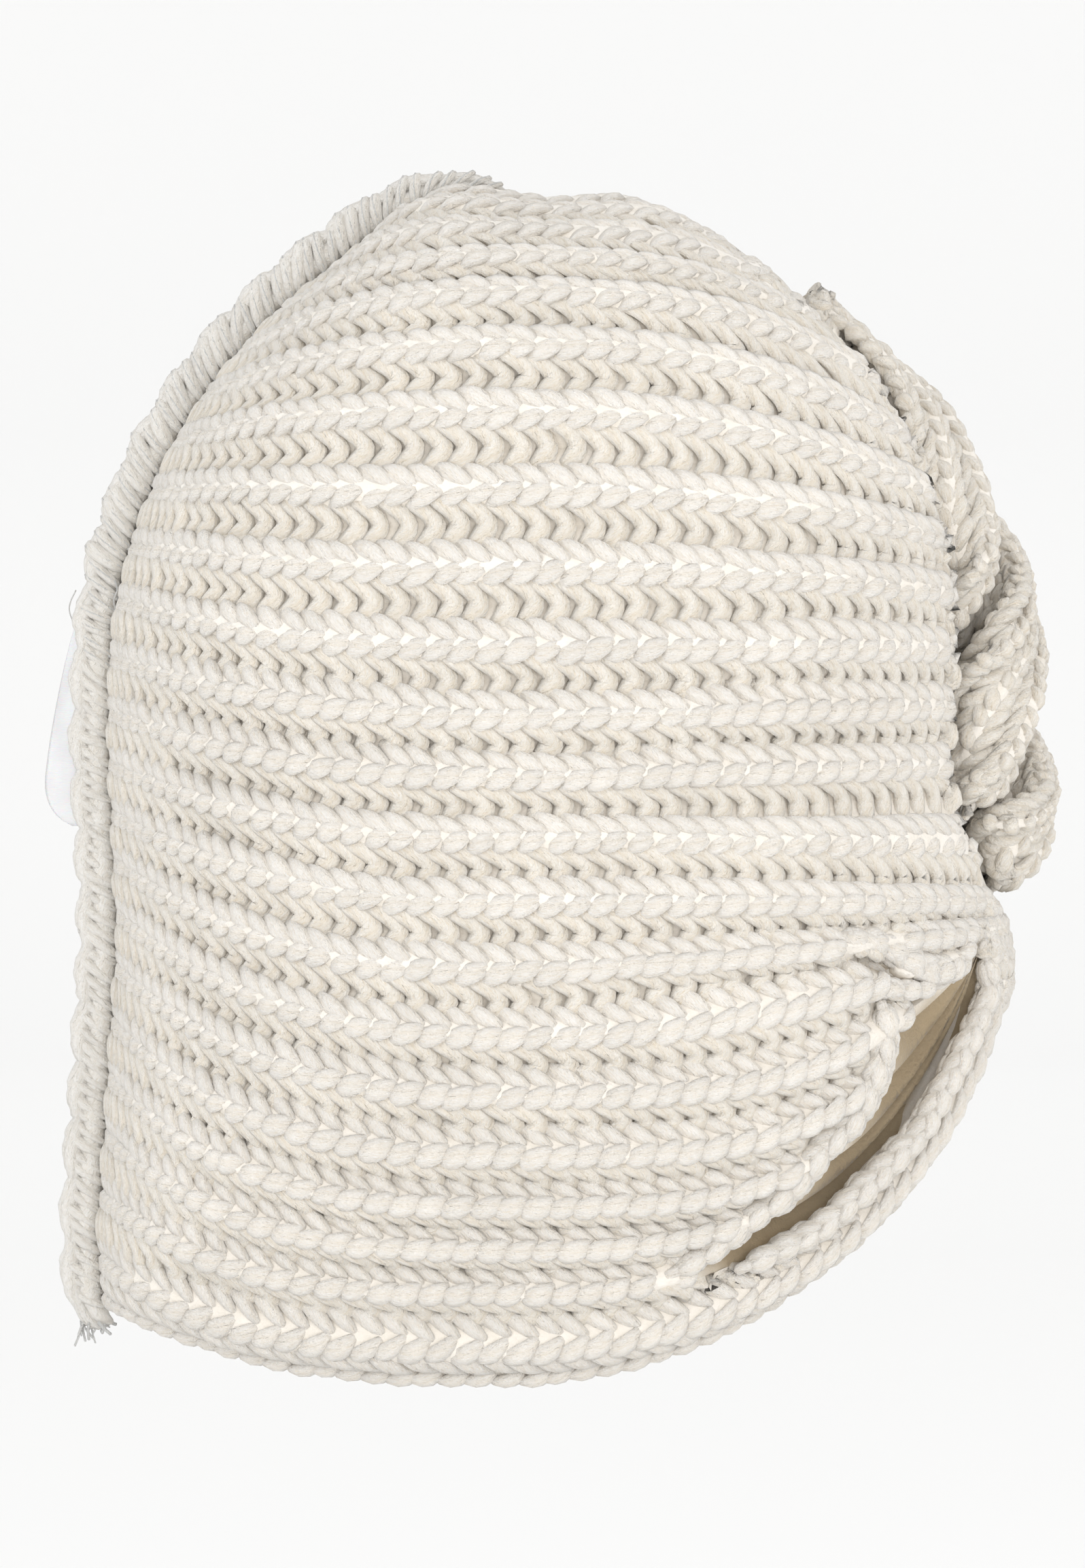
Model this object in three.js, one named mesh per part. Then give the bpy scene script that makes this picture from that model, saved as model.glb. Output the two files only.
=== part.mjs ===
// Chunky rib knit turban hat for a baby, in the form it has on a head.
// Millimetres. +X is the front of the hat, -Y the wearer's right, +Z up.
// The origin is inside the top of the crown, where the head touches the hat.
import * as THREE from "three";
import { mergeVertices } from "three/addons/utils/BufferGeometryUtils.js";

// Driving dimensions
const HALF_WIDTH = 66; // half the width over the ears
const WALL = 5; // thickness of the rib knit
const RIBS = 22; // ribs on each side, from the crown line (0) to the rim (22)
const RIB_RELIEF = 3.4; // how far a rib stands above the valleys beside it
const CENTRE = { x: 2.4, z: -99.8 }; // middle of the side view
const EAR_LINE = 0.45; // where along its length a rib crosses the ear line
const CROWN_RIBS = 3; // ribs beside the crown line that lie over the top
const CROWN_LINE = { back: 100.8, front: 84, end: 81.6 }; // its angles round the centre
const SEAM_STEEPNESS = 2.3; // how sharply a rib turns where it leaves the back seam
const RIM_STEEPNESS = { fromRib: 16, ribs: 6 }; // below this rib they turn more sharply, by 1 in so many ribs
const SEAM_FADE = 0.12; // share of a rib's length over which it rises out of the back seam
const FRONT_FADE = { from: 0.85, over: 0.3, least: 0.35 }; // where and how far a rib flattens at the front
const GATHERED_RIB = 14.5; // the ribs below this one lie flat where they gather at the forehead
const GAP = 0.3; // clearance between neighbouring pieces

// The head's form under the knit, as the powers of its rounded section, with what the top and bottom add
const FORM = { round: 2.3, roundTop: 3.9, roundBottom: 1.2, side: 2, sideTop: 0.3 };

// The fin of the back seam: its angles round the centre, its size, and where its sides bend in to the tip
const SEAM = {
  from: 99,
  to: 229,
  steps: 44,
  lift: 0.85,
  height: 6.5,
  start: 1.6,
  grown: 0.12,
  thickness: 4.6,
  tip: 2.4,
  shoulder: 0.6,
  scallop: 0.45,
};

// The label, whose lean away from the middle plane is in degrees
const LABEL = {
  top: -67,
  bottom: -104,
  widest: -95,
  length: 10,
  least: 0.2,
  thickness: 0.7,
  tucked: 3,
  leanTop: 86,
  leanBottom: 46,
  steps: 10,
};

// A strand's section, as shares of the twist's half thickness and half width, and how square its corners are
const STRAND = { middle: 0.52, deep: 0.47, wide: 0.87, squareness: 0.8 };

const FACES = { along: 20, fineFrom: 14, front: 4, strand: 14, strandSteps: 30 };

// The hat's outline in its middle plane, as a reach from the centre at each angle (degrees, 0 at the front).
// Below the rim it is where the knit would close if it went on.
const OUTLINE = [
  { angle: 0, reach: 76.2 },
  { angle: 10, reach: 76.5 },
  { angle: 20, reach: 80.5 },
  { angle: 30, reach: 86 },
  { angle: 42, reach: 92.4 },
  { angle: 55, reach: 97.5 },
  { angle: 70, reach: 102 },
  { angle: 82, reach: 106.3 },
  { angle: 91, reach: 105.3 },
  { angle: 101, reach: 108.7 },
  { angle: 112, reach: 102.5 },
  { angle: 125, reach: 97 },
  { angle: 140, reach: 91 },
  { angle: 155, reach: 85.2 },
  { angle: 170, reach: 80 },
  { angle: 185, reach: 78.3 },
  { angle: 198, reach: 81.5 },
  { angle: 210, reach: 90.8 },
  { angle: 218, reach: 101.3 },
  { angle: 225, reach: 113.6 },
  { angle: 229, reach: 120 },
  { angle: 240, reach: 122.5 },
  { angle: 262, reach: 121.6 },
  { angle: 280, reach: 117 },
  { angle: 297, reach: 106 },
  { angle: 312, reach: 98.2 },
  { angle: 327, reach: 91.3 },
  { angle: 340, reach: 85.7 },
  { angle: 350, reach: 80.3 },
];

// The valleys between the ribs: the angle where each leaves the back seam, its height at the ear line, the
// place where it ends at the twist or the forehead, how late it turns there, and its place in the middle
// plane.
const VALLEYS = [
  { rib: 3, seam: 116.5, ear: -2.9, toX: 39.6, toZ: -10.1, turn: 2.3, bend: 1, midX: 42, midZ: -8 },
  { rib: 4, seam: 122.1, ear: -7.7, toX: 51.6, toZ: -18.8, turn: 2.3, bend: 1, midX: 49.8, midZ: -17 },
  { rib: 5, seam: 127.7, ear: -15.6, toX: 60.4, toZ: -30.2, turn: 2.3, bend: 1, midX: 58.2, midZ: -28.4 },
  { rib: 6, seam: 133.3, ear: -25.6, toX: 65.4, toZ: -40.2, turn: 2.3, bend: 1, midX: 62.4, midZ: -39.2 },
  { rib: 7, seam: 139.1, ear: -38.3, toX: 68.6, toZ: -49.4, turn: 2.3, bend: 1, midX: 65.6, midZ: -48.8 },
  { rib: 8, seam: 145.4, ear: -52.1, toX: 70.7, toZ: -57.6, turn: 2.3, bend: 1, midX: 67.7, midZ: -57.8 },
  { rib: 10, seam: 158.2, ear: -78.8, toX: 71.3, toZ: -78.2, turn: 2.3, bend: 1, midX: 68.6, midZ: -78.6 },
  { rib: 12, seam: 171.7, ear: -100.4, toX: 70.8, toZ: -98.4, turn: 2.3, bend: 1, midX: 68.4, midZ: -98 },
  { rib: 13, seam: 178.3, ear: -111.2, toX: 76.8, toZ: -113, turn: 2.4, bend: 1, midX: 78.2, midZ: -115.7 },
  { rib: 14, seam: 184.8, ear: -122.6, toX: 77.4, toZ: -119.6, turn: 2, bend: 1, midX: 80.9, midZ: -119.6 },
  { rib: 15, seam: 191, ear: -134.5, toX: 75.7, toZ: -124.4, turn: 1.3, bend: 1, midX: 81.8, midZ: -122.9 },
  { rib: 16, seam: 197.5, ear: -145.3, toX: 75.5, toZ: -125.3, turn: 3.4, bend: 1, midX: 82.1, midZ: -123.8 },
  { rib: 18, seam: 209.1, ear: -165.7, toX: 75.4, toZ: -126.1, turn: 4, bend: 0.9, midX: 82.2, midZ: -124.7 },
  { rib: 20, seam: 218.7, ear: -181.1, toX: 75.8, toZ: -127, turn: 3, bend: 0.78, midX: 82.3, midZ: -125.5 },
  { rib: 21, seam: 223.3, ear: -189.2, toX: 79.4, toZ: -130.1, turn: 2.5, bend: 0.7, midX: 82.8, midZ: -129.2 },
  { rib: 22, seam: 227.7, ear: -201.2, toX: 79.4, toZ: -137, turn: 2, bend: 0.62, midX: 82.1, midZ: -134.9 },
];

// The deep fold between the rim band and the ribs that gather under the twist.
const POCKET = [
  { x: 76, z: -124.6, half: 1.2, depth: 3 },
  { x: 72.2, z: -129.4, half: 2.2, depth: 9 },
  { x: 67.2, z: -136.4, half: 4.6, depth: 15 },
  { x: 64.9, z: -145.5, half: 4.2, depth: 15 },
  { x: 59.3, z: -156.4, half: 3.6, depth: 14 },
  { x: 49.6, z: -167, half: 3, depth: 12 },
  { x: 36, z: -177, half: 2.2, depth: 8 },
  { x: 21, z: -183.3, half: 1.2, depth: 0 },
];
const POCKET_WALLS = 6; // how steep its walls are
const POCKET_INSIDE = { depth: 0.65, spread: 1.4 }; // how much shallower and wider it is on the inner face

// The twist down the front: the outermost line, its thickness, half its width and how far it has turned.
const TWIST = [
  { x: 46.9, z: -10.1, thick: 0.9, half: 5, turn: -20 },
  { x: 50, z: -12.3, thick: 1.8, half: 12, turn: -10 },
  { x: 59.4, z: -19.8, thick: 4.2, half: 18, turn: 5 },
  { x: 69, z: -29.3, thick: 8.2, half: 22, turn: 35 },
  { x: 75.4, z: -39.8, thick: 10.4, half: 24, turn: 65 },
  { x: 79.2, z: -47.6, thick: 11.7, half: 25, turn: 90 },
  { x: 83.2, z: -55.4, thick: 14, half: 26, turn: 125 },
  { x: 85.8, z: -65.4, thick: 15.8, half: 26, turn: 180 },
  { x: 87.2, z: -75.2, thick: 17, half: 26, turn: 230 },
  { x: 87, z: -85, thick: 17.4, half: 26, turn: 270 },
  { x: 88, z: -92.6, thick: 18.2, half: 26, turn: 310 },
  { x: 88.9, z: -99.5, thick: 16.8, half: 25, turn: 350 },
  { x: 87.4, z: -107, thick: 11.8, half: 21, turn: 400 },
  { x: 83.2, z: -114, thick: 5.6, half: 15, turn: 440 },
  { x: 80.6, z: -115.8, thick: 2.6, half: 8, turn: 450 },
];

const DEG = Math.PI / 180;

// A smooth curve through one column of a table, read at any place in its key column
function read(table, key, column, at) {
  const last = table.length - 1;
  let i = 0;
  while (i < last - 1 && at > table[i + 1][key]) i += 1;
  const slope = (j) => {
    const a = table[Math.max(j - 1, 0)];
    const b = table[Math.min(j + 1, last)];
    return (b[column] - a[column]) / (b[key] - a[key]);
  };
  const span = table[i + 1][key] - table[i][key];
  const t = Math.min(Math.max((at - table[i][key]) / span, 0), 1);
  const t2 = t * t;
  const t3 = t2 * t;
  const start = (2 * t3 - 3 * t2 + 1) * table[i][column] + (t3 - 2 * t2 + t) * span * slope(i);
  return start + (3 * t2 - 2 * t3) * table[i + 1][column] + (t3 - t2) * span * slope(i + 1);
}

const outlineRound = [
  { ...OUTLINE.at(-1), angle: OUTLINE.at(-1).angle - 360 },
  ...OUTLINE,
  { ...OUTLINE[0], angle: 360 },
  { ...OUTLINE[1], angle: OUTLINE[1].angle + 360 },
];

function reachAt(angle) {
  return read(outlineRound, "angle", "reach", ((angle % 360) + 360) % 360);
}

function polar(x, z) {
  const dx = x - CENTRE.x;
  const dz = z - CENTRE.z;
  const angle = Math.atan2(dz, dx) / DEG;
  return { angle, share: Math.hypot(dx, dz) / reachAt(angle) };
}

function fromPolar(angle, share) {
  const reach = reachAt(angle) * share;
  return { x: CENTRE.x + reach * Math.cos(angle * DEG), z: CENTRE.z + reach * Math.sin(angle * DEG) };
}

// The form of the head under the knit: broad and flat on top, round at the back and front, drawn in below
function powers(angle) {
  const s = Math.sin(angle * DEG);
  const top = Math.max(s, 0) ** 2;
  const bottom = Math.max(-s, 0) ** 2;
  return {
    round: FORM.round + FORM.roundTop * top + FORM.roundBottom * bottom,
    side: FORM.side + FORM.sideTop * top,
  };
}

function halfWidthAt(x, z) {
  const { angle, share } = polar(x, z);
  const p = powers(angle);
  return HALF_WIDTH * Math.max(1 - share ** p.round, 0) ** (1 / p.side);
}

function outward(point) {
  const { angle, share } = polar(point.x, point.z);
  const p = powers(angle);
  const radial = (p.round * share ** (p.round - 1)) / reachAt(angle);
  const sideways = (p.side * (Math.abs(point.y) / HALF_WIDTH) ** (p.side - 1)) / HALF_WIDTH;
  const n = new THREE.Vector3(Math.cos(angle * DEG) * radial, -sideways, Math.sin(angle * DEG) * radial);
  if (point.y === 0) n.y = 0;
  return n.normalize();
}

// A point of the knit on the wearer's right. along runs from 0 at the back seam to 1 where the rib meets
// the twist, and on to 2 in the middle plane.
function valleyPoint(rib, along) {
  const row = (column) => read(VALLEYS, "rib", column, rib);
  const seam = fromPolar(row("seam"), 1);
  const reached = Math.min(along, 1);
  const steepness = SEAM_STEEPNESS + Math.max(rib - RIM_STEEPNESS.fromRib, 0) / RIM_STEEPNESS.ribs;
  const back = Math.max(1 - reached / EAR_LINE, 0) ** steepness;
  const past = Math.max((reached - EAR_LINE) / (1 - EAR_LINE), 0);
  const front = 1 - (1 - past ** row("turn")) ** row("bend");
  const x = seam.x + (row("toX") - seam.x) * reached;
  const z = row("ear") + (seam.z - row("ear")) * back + (row("toZ") - row("ear")) * front;
  if (along === 0) return new THREE.Vector3(seam.x, 0, seam.z);
  const y = -halfWidthAt(x, z);
  if (along <= 1) return new THREE.Vector3(x, y, z);
  const inFront = ((along - 1) * Math.PI) / 2;
  const s = Math.sin(inFront);
  const px = x + (row("midX") - x) * s;
  const pz = z + (row("midZ") - z) * s;
  return new THREE.Vector3(px, along === 2 ? 0 : y * Math.cos(inFront), pz);
}

function knitPoint(rib, along) {
  if (rib >= CROWN_RIBS) return valleyPoint(rib, along);
  const t = rib / CROWN_RIBS;
  const below = valleyPoint(CROWN_RIBS, along);
  const side = polar(below.x, below.z);
  const { back, front, end } = CROWN_LINE;
  const top = along < 1 ? back + (front - back) * along : front + (end - front) * (along - 1);
  const place = fromPolar(top + (side.angle - top) * t, 1 - (1 - side.share) * t * t);
  return new THREE.Vector3(place.x, rib === 0 ? 0 : below.y * t, place.z);
}

// How far the pocket sinks the knit at a place in the side view. spread widens it, for the inner face.
function pocketDepth(x, z, spread) {
  let best = { distance: Infinity, half: 1, depth: 0 };
  for (let i = 0; i < POCKET.length - 1; i += 1) {
    const a = POCKET[i];
    const b = POCKET[i + 1];
    const length2 = (b.x - a.x) ** 2 + (b.z - a.z) ** 2;
    const t = THREE.MathUtils.clamp(((x - a.x) * (b.x - a.x) + (z - a.z) * (b.z - a.z)) / length2, 0, 1);
    const distance = Math.hypot(x - a.x - (b.x - a.x) * t, z - a.z - (b.z - a.z) * t);
    const half = a.half + (b.half - a.half) * t;
    if (distance < best.distance) best = { distance, half, depth: a.depth + (b.depth - a.depth) * t };
  }
  return best.depth / (1 + (best.distance / (best.half * spread)) ** POCKET_WALLS);
}

// Ribs fade at the seam, at the twist and where they gather at the forehead
function ribHeight(rib, along) {
  const seamFade = Math.min(along / SEAM_FADE, 1);
  const past = Math.max(along - FRONT_FADE.from, 0) / FRONT_FADE.over;
  const frontFade = Math.max(1 - past, FRONT_FADE.least);
  const gathered = rib > GATHERED_RIB && along > 1 ? 0 : 1;
  const wave = -Math.cos(rib * 2 * Math.PI) / 2;
  return RIB_RELIEF * wave * seamFade * frontFade * gathered;
}

function outerPoint(rib, along) {
  const p = knitPoint(rib, along);
  const n = outward(p);
  const sunk = p.y === 0 ? 0 : pocketDepth(p.x, p.z, 1);
  p.addScaledVector(n, ribHeight(rib, along));
  p.y = Math.min(p.y + sunk, 0);
  return p;
}

function innerPoint(rib, along) {
  const p = knitPoint(rib, along);
  const n = outward(p);
  const { depth, spread } = POCKET_INSIDE;
  const sunk = p.y === 0 ? 0 : depth * pocketDepth(p.x, p.z, spread);
  p.addScaledVector(n, -WALL);
  p.y = Math.min(p.y + sunk, 0);
  return p;
}

// Triangles collected as points, then welded into one closed mesh
function makeMesh(name, triangles, look) {
  const loose = new THREE.BufferGeometry();
  const flat = triangles.flatMap((corner) => [corner.x, corner.y, corner.z]);
  loose.setAttribute("position", new THREE.Float32BufferAttribute(flat, 3));
  const geometry = mergeVertices(loose, 1e-4);
  geometry.computeVertexNormals();
  const mesh = new THREE.Mesh(geometry, new THREE.MeshStandardMaterial(look));
  mesh.name = name;
  return mesh;
}

// Two triangles for each cell of a grid of points, facing the other way when flipped
function skin(grid, flipped) {
  const out = [];
  for (let r = 0; r < grid.length - 1; r += 1) {
    for (let c = 0; c < grid[r].length - 1; c += 1) {
      const a = grid[r][c];
      const b = grid[r][c + 1];
      const d = grid[r + 1][c];
      const e = grid[r + 1][c + 1];
      const faces = [[a, b, e], [a, e, d]];
      for (const [p, q, s] of faces) {
        if (p.equals(q) || q.equals(s) || p.equals(s)) continue;
        out.push(...(flipped ? [p, s, q] : [p, q, s]));
      }
    }
  }
  return out;
}

function mirrored(triangles) {
  const out = [];
  for (let i = 0; i < triangles.length; i += 3) {
    const [a, b, c] = triangles.slice(i, i + 3).map((p) => new THREE.Vector3(p.x, p.y === 0 ? 0 : -p.y, p.z));
    out.push(a, c, b);
  }
  return out;
}

function knitShell() {
  const columns = [];
  for (let i = 0; i <= FACES.along; i += 1) {
    columns.push(i / FACES.along);
    if (i >= FACES.fineFrom && i < FACES.along) columns.push((i + 0.5) / FACES.along);
  }
  for (let i = 1; i <= FACES.front; i += 1) columns.push(1 + i / FACES.front);
  const outer = [];
  const inner = [];
  for (let half = 0; half <= 2 * RIBS; half += 1) {
    outer.push(columns.map((along) => outerPoint(half / 2, along)));
    if (half % 2 === 0) inner.push(columns.map((along) => innerPoint(half / 2, along)));
  }
  const rim = [outer.at(-1), inner.at(-1)];
  const right = [...skin(outer, true), ...skin(inner, false), ...skin(rim, true)];
  const look = { color: 0xf3efe6, roughness: 0.95, metalness: 0 };
  return makeMesh("knit_shell", [...right, ...mirrored(right)], look);
}

// One of the two strands: the half of the twist's section that faces turn, round-cornered so that
// notches are left between the strands
function twistStrand(name, turned) {
  const keys = TWIST.map((row, i) => ({ ...row, at: i / (TWIST.length - 1) }));
  const rings = [];
  for (let i = 0; i <= FACES.strandSteps; i += 1) {
    const at = i / FACES.strandSteps;
    const get = (column) => read(keys, "at", column, at);
    const step = 0.01;
    const ahead = Math.min(at + step, 1);
    const behind = Math.max(at - step, 0);
    const dx = read(keys, "at", "x", ahead) - read(keys, "at", "x", behind);
    const dz = read(keys, "at", "z", ahead) - read(keys, "at", "z", behind);
    const out = new THREE.Vector3(-dz, 0, dx).normalize();
    const half = get("thick") / 2;
    const middle = new THREE.Vector3(get("x"), 0, get("z")).addScaledVector(out, -half);
    const facing = (get("turn") + turned) * DEG;
    const ring = [];
    for (let j = 0; j < FACES.strand; j += 1) {
      const a = (j / FACES.strand) * 2 * Math.PI;
      const round = (v) => Math.sign(v) * Math.abs(v) ** STRAND.squareness;
      const away = STRAND.middle + STRAND.deep * round(Math.cos(a));
      const across = STRAND.wide * round(Math.sin(a));
      const outwards = away * Math.cos(facing) - across * Math.sin(facing);
      const near = away * Math.sin(facing) + across * Math.cos(facing);
      const p = middle.clone().addScaledVector(out, outwards * half);
      p.addScaledVector(out, (Math.cos(facing) * GAP) / 2);
      p.y = -near * get("half") - (Math.sin(facing) * GAP) / 2;
      ring.push(p);
    }
    rings.push(ring);
  }
  const look = { color: 0xf1ece2, roughness: 0.95, metalness: 0 };
  return makeMesh(name, tube(rings), look);
}

// A closed solid through a row of rings, capped at both ends
function tube(rings) {
  const closed = rings.map((ring) => [...ring, ring[0]]);
  const out = skin(closed, false);
  const cap = (ring, flipped) => {
    const middle = ring.reduce((sum, p) => sum.add(p), new THREE.Vector3()).divideScalar(ring.length);
    for (let j = 0; j < ring.length; j += 1) {
      const a = ring[j];
      const b = ring[(j + 1) % ring.length];
      out.push(...(flipped ? [middle, a, b] : [middle, b, a]));
    }
  };
  cap(rings[0], false);
  cap(rings.at(-1), true);
  return out;
}

// The overlocked seam allowance, a fin that stands out down the back
function backSeam() {
  const rings = [];
  for (let i = 0; i <= SEAM.steps; i += 1) {
    const t = i / SEAM.steps;
    const angle = SEAM.from + (SEAM.to - SEAM.from) * t;
    const base = fromPolar(angle, 1);
    const ahead = fromPolar(angle + 0.5, 1);
    const out = new THREE.Vector3(-(base.z - ahead.z), 0, base.x - ahead.x).normalize();
    const grow = Math.min(t / SEAM.grown, 1);
    const bump = SEAM.scallop * (i % 2 === 0 ? 1 : -1);
    const height = SEAM.start + (SEAM.height - SEAM.start) * grow + bump;
    const ring = [];
    const corners = [
      { up: SEAM.lift, y: -1 },
      { up: height * SEAM.shoulder, y: -0.95 },
      { up: height, y: -SEAM.tip / SEAM.thickness },
      { up: height, y: SEAM.tip / SEAM.thickness },
      { up: height * SEAM.shoulder, y: 0.95 },
      { up: SEAM.lift, y: 1 },
    ];
    for (const corner of corners) {
      const p = new THREE.Vector3(base.x, 0, base.z).addScaledVector(out, corner.up);
      p.y = (corner.y * SEAM.thickness) / 2;
      ring.push(p);
    }
    rings.push(ring);
  }
  return makeMesh("back_seam", tube(rings), { color: 0xf2eee4, roughness: 0.95, metalness: 0 });
}

// The blank satin label, tucked behind the fin and leaning away from it, less so towards its lower end
function backLabel() {
  const rings = [];
  const back = reachAt(180);
  for (let i = 0; i <= LABEL.steps; i += 1) {
    const t = i / LABEL.steps;
    const z = LABEL.top + (LABEL.bottom - LABEL.top) * t;
    const angle = polar(CENTRE.x - back, z).angle;
    const edge = CENTRE.x - Math.abs(reachAt(angle) * Math.cos(angle * DEG)) - SEAM.height;
    const lean = (LABEL.leanTop + (LABEL.leanBottom - LABEL.leanTop) * t) * DEG;
    const past = Math.max((LABEL.widest - z) / (LABEL.widest - LABEL.bottom), 0);
    const length = LABEL.length * Math.max(Math.sqrt(1 - past * past), LABEL.least);
    const root = SEAM.thickness / 2 + GAP;
    const tip = { x: edge - length * Math.cos(lean), y: root + length * Math.sin(lean) };
    const h = LABEL.thickness;
    rings.push([
      new THREE.Vector3(edge + LABEL.tucked, root + h, z),
      new THREE.Vector3(edge, root + h, z),
      new THREE.Vector3(tip.x + h * Math.sin(lean), tip.y + h * Math.cos(lean), z),
      new THREE.Vector3(tip.x, tip.y, z),
      new THREE.Vector3(edge, root, z),
      new THREE.Vector3(edge + LABEL.tucked, root, z),
    ]);
  }
  return makeMesh("label", tube(rings.reverse()), { color: 0xfbfbfa, roughness: 0.45, metalness: 0 });
}

const hat = new THREE.Group();
hat.add(knitShell());
hat.add(twistStrand("twist_strand_right", 0));
hat.add(twistStrand("twist_strand_left", 180));
hat.add(backSeam());
hat.add(backLabel());

export default hat;
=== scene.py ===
"""The looks of a baby's chunky rib knit turban hat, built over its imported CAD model.

Every stitch is a swept leg of yarn on the same curved ribs as the CAD shell.
Sizes and places are in millimetres, +X the front of the hat, -Y the wearer's right and +Z up.
"""

from math import pi, tau

import bmesh
import bpy
import numpy as np
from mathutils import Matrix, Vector
from numpy import arange, clip, concatenate as join, cos, cross, hypot, interp, linspace
from numpy import maximum, minimum, radians, sin, stack, where


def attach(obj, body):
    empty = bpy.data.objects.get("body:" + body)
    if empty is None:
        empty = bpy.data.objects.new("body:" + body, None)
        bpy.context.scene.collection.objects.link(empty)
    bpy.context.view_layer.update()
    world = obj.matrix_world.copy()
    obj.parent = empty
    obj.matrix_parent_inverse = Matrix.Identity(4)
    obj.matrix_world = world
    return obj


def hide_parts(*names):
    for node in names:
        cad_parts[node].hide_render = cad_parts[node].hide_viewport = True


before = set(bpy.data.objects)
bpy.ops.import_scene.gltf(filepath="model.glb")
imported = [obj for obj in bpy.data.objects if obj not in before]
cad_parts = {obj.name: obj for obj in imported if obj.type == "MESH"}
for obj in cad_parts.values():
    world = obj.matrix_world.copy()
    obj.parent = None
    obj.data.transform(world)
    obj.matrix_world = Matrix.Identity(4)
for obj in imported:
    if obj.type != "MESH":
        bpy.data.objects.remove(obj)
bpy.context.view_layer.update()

MM = 0.001
rng = np.random.default_rng(7)


def table(columns, rows):
    """Rows of numbers as one array for each named column."""
    return dict(zip(columns.split(), np.array(rows, float).T))


# The form of the hat, as in its CAD source
HALF_WIDTH = 66  # half the width over the ears
WALL = 5  # thickness of the rib knit
RIBS = 22  # ribs on each side, from the crown line (0) to the rim (22)
RIB_RELIEF = 3.4  # how far a rib stands above the valleys beside it
CENTRE = (2.4, -99.8)  # middle of the side view
EAR_LINE = 0.45  # where along its length a rib crosses the ear line
CROWN_RIBS = 3  # ribs beside the crown line that lie over the top
CROWN_BACK, CROWN_FRONT, CROWN_END = 100.8, 84, 81.6  # angles of the crown line round the centre
SEAM_STEEPNESS = 2.3  # how sharply a rib turns where it leaves the back seam
STEEPER_FROM, STEEPER_RIBS = 16, 6  # the ribs below this one turn more sharply
FORM_ROUND, FORM_TOP, FORM_BOTTOM, FORM_SIDE, FORM_SIDE_TOP = 2.3, 3.9, 1.2, 2, 0.3

# The outline in the middle plane, as a reach from the centre at each angle
OUTLINE = table("angle reach", [
    (0, 76.2), (10, 76.5), (20, 80.5), (30, 86), (42, 92.4), (55, 97.5), (70, 102), (82, 106.3),
    (91, 105.3), (101, 108.7), (112, 102.5), (125, 97), (140, 91), (155, 85.2), (170, 80), (185, 78.3),
    (198, 81.5), (210, 90.8), (218, 101.3), (225, 113.6), (229, 120), (240, 122.5), (262, 121.6),
    (280, 117), (297, 106), (312, 98.2), (327, 91.3), (340, 85.7), (350, 80.3),
])

# The valleys between the ribs: where each leaves the back seam, its height at the ear line, the place
# where it ends at the twist or the forehead, how late it turns there, and its place in the middle plane
VALLEYS = table("rib seam ear end_x end_z turn bend mid_x mid_z", [
    (3, 116.5, -2.9, 39.6, -10.1, 2.3, 1, 42, -8),
    (4, 122.1, -7.7, 51.6, -18.8, 2.3, 1, 49.8, -17),
    (5, 127.7, -15.6, 60.4, -30.2, 2.3, 1, 58.2, -28.4),
    (6, 133.3, -25.6, 65.4, -40.2, 2.3, 1, 62.4, -39.2),
    (7, 139.1, -38.3, 68.6, -49.4, 2.3, 1, 65.6, -48.8),
    (8, 145.4, -52.1, 70.7, -57.6, 2.3, 1, 67.7, -57.8),
    (10, 158.2, -78.8, 71.3, -78.2, 2.3, 1, 68.6, -78.6),
    (12, 171.7, -100.4, 70.8, -98.4, 2.3, 1, 68.4, -98),
    (13, 178.3, -111.2, 76.8, -113, 2.4, 1, 78.2, -115.7),
    (14, 184.8, -122.6, 77.4, -119.6, 2, 1, 80.9, -119.6),
    (15, 191, -134.5, 75.7, -124.4, 1.3, 1, 81.8, -122.9),
    (16, 197.5, -145.3, 75.5, -125.3, 3.4, 1, 82.1, -123.8),
    (18, 209.1, -165.7, 75.4, -126.1, 4, 0.9, 82.2, -124.7),
    (20, 218.7, -181.1, 75.8, -127, 3, 0.78, 82.3, -125.5),
    (21, 223.3, -189.2, 79.4, -130.1, 2.5, 0.7, 82.8, -129.2),
    (22, 227.7, -201.2, 79.4, -137, 2, 0.62, 82.1, -134.9),
])

# The deep fold between the rim band and the ribs that gather under the twist
POCKET = table("x z half depth", [
    (76.2, -125, 1.2, 3), (74.6, -131, 2.4, 9), (68.6, -139.8, 5, 15), (65.7, -146, 4.8, 15),
    (60.1, -157, 4.3, 14), (50.3, -167.6, 3.6, 12), (36.6, -177.6, 2.8, 8), (21, -183.7, 1.6, 0),
])
# The crease above it, between two of the folds that gather there
LIP_CREASE = table("x z half depth", [
    (50, -125.6, 0.6, 0), (55.7, -127.4, 0.8, 3), (59.3, -129.4, 0.9, 5), (62.5, -131.6, 1, 6),
    (66.4, -133, 1, 7),
])
POCKET_WALLS = 6  # how steep the walls of both are
INSIDE_DEPTH, INSIDE_SPREAD = 0.65, 1.4  # the pocket's depth and width on the inner face, as shares
SHADE_DEPTH, SHADE_FROM = 4, 0.3  # the pocket depth where the ground's painted shade is darkest, and the share of it from which it darkens
BARE_DEPTH = 3.4  # the depth below which only the ground of the knit shows

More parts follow.
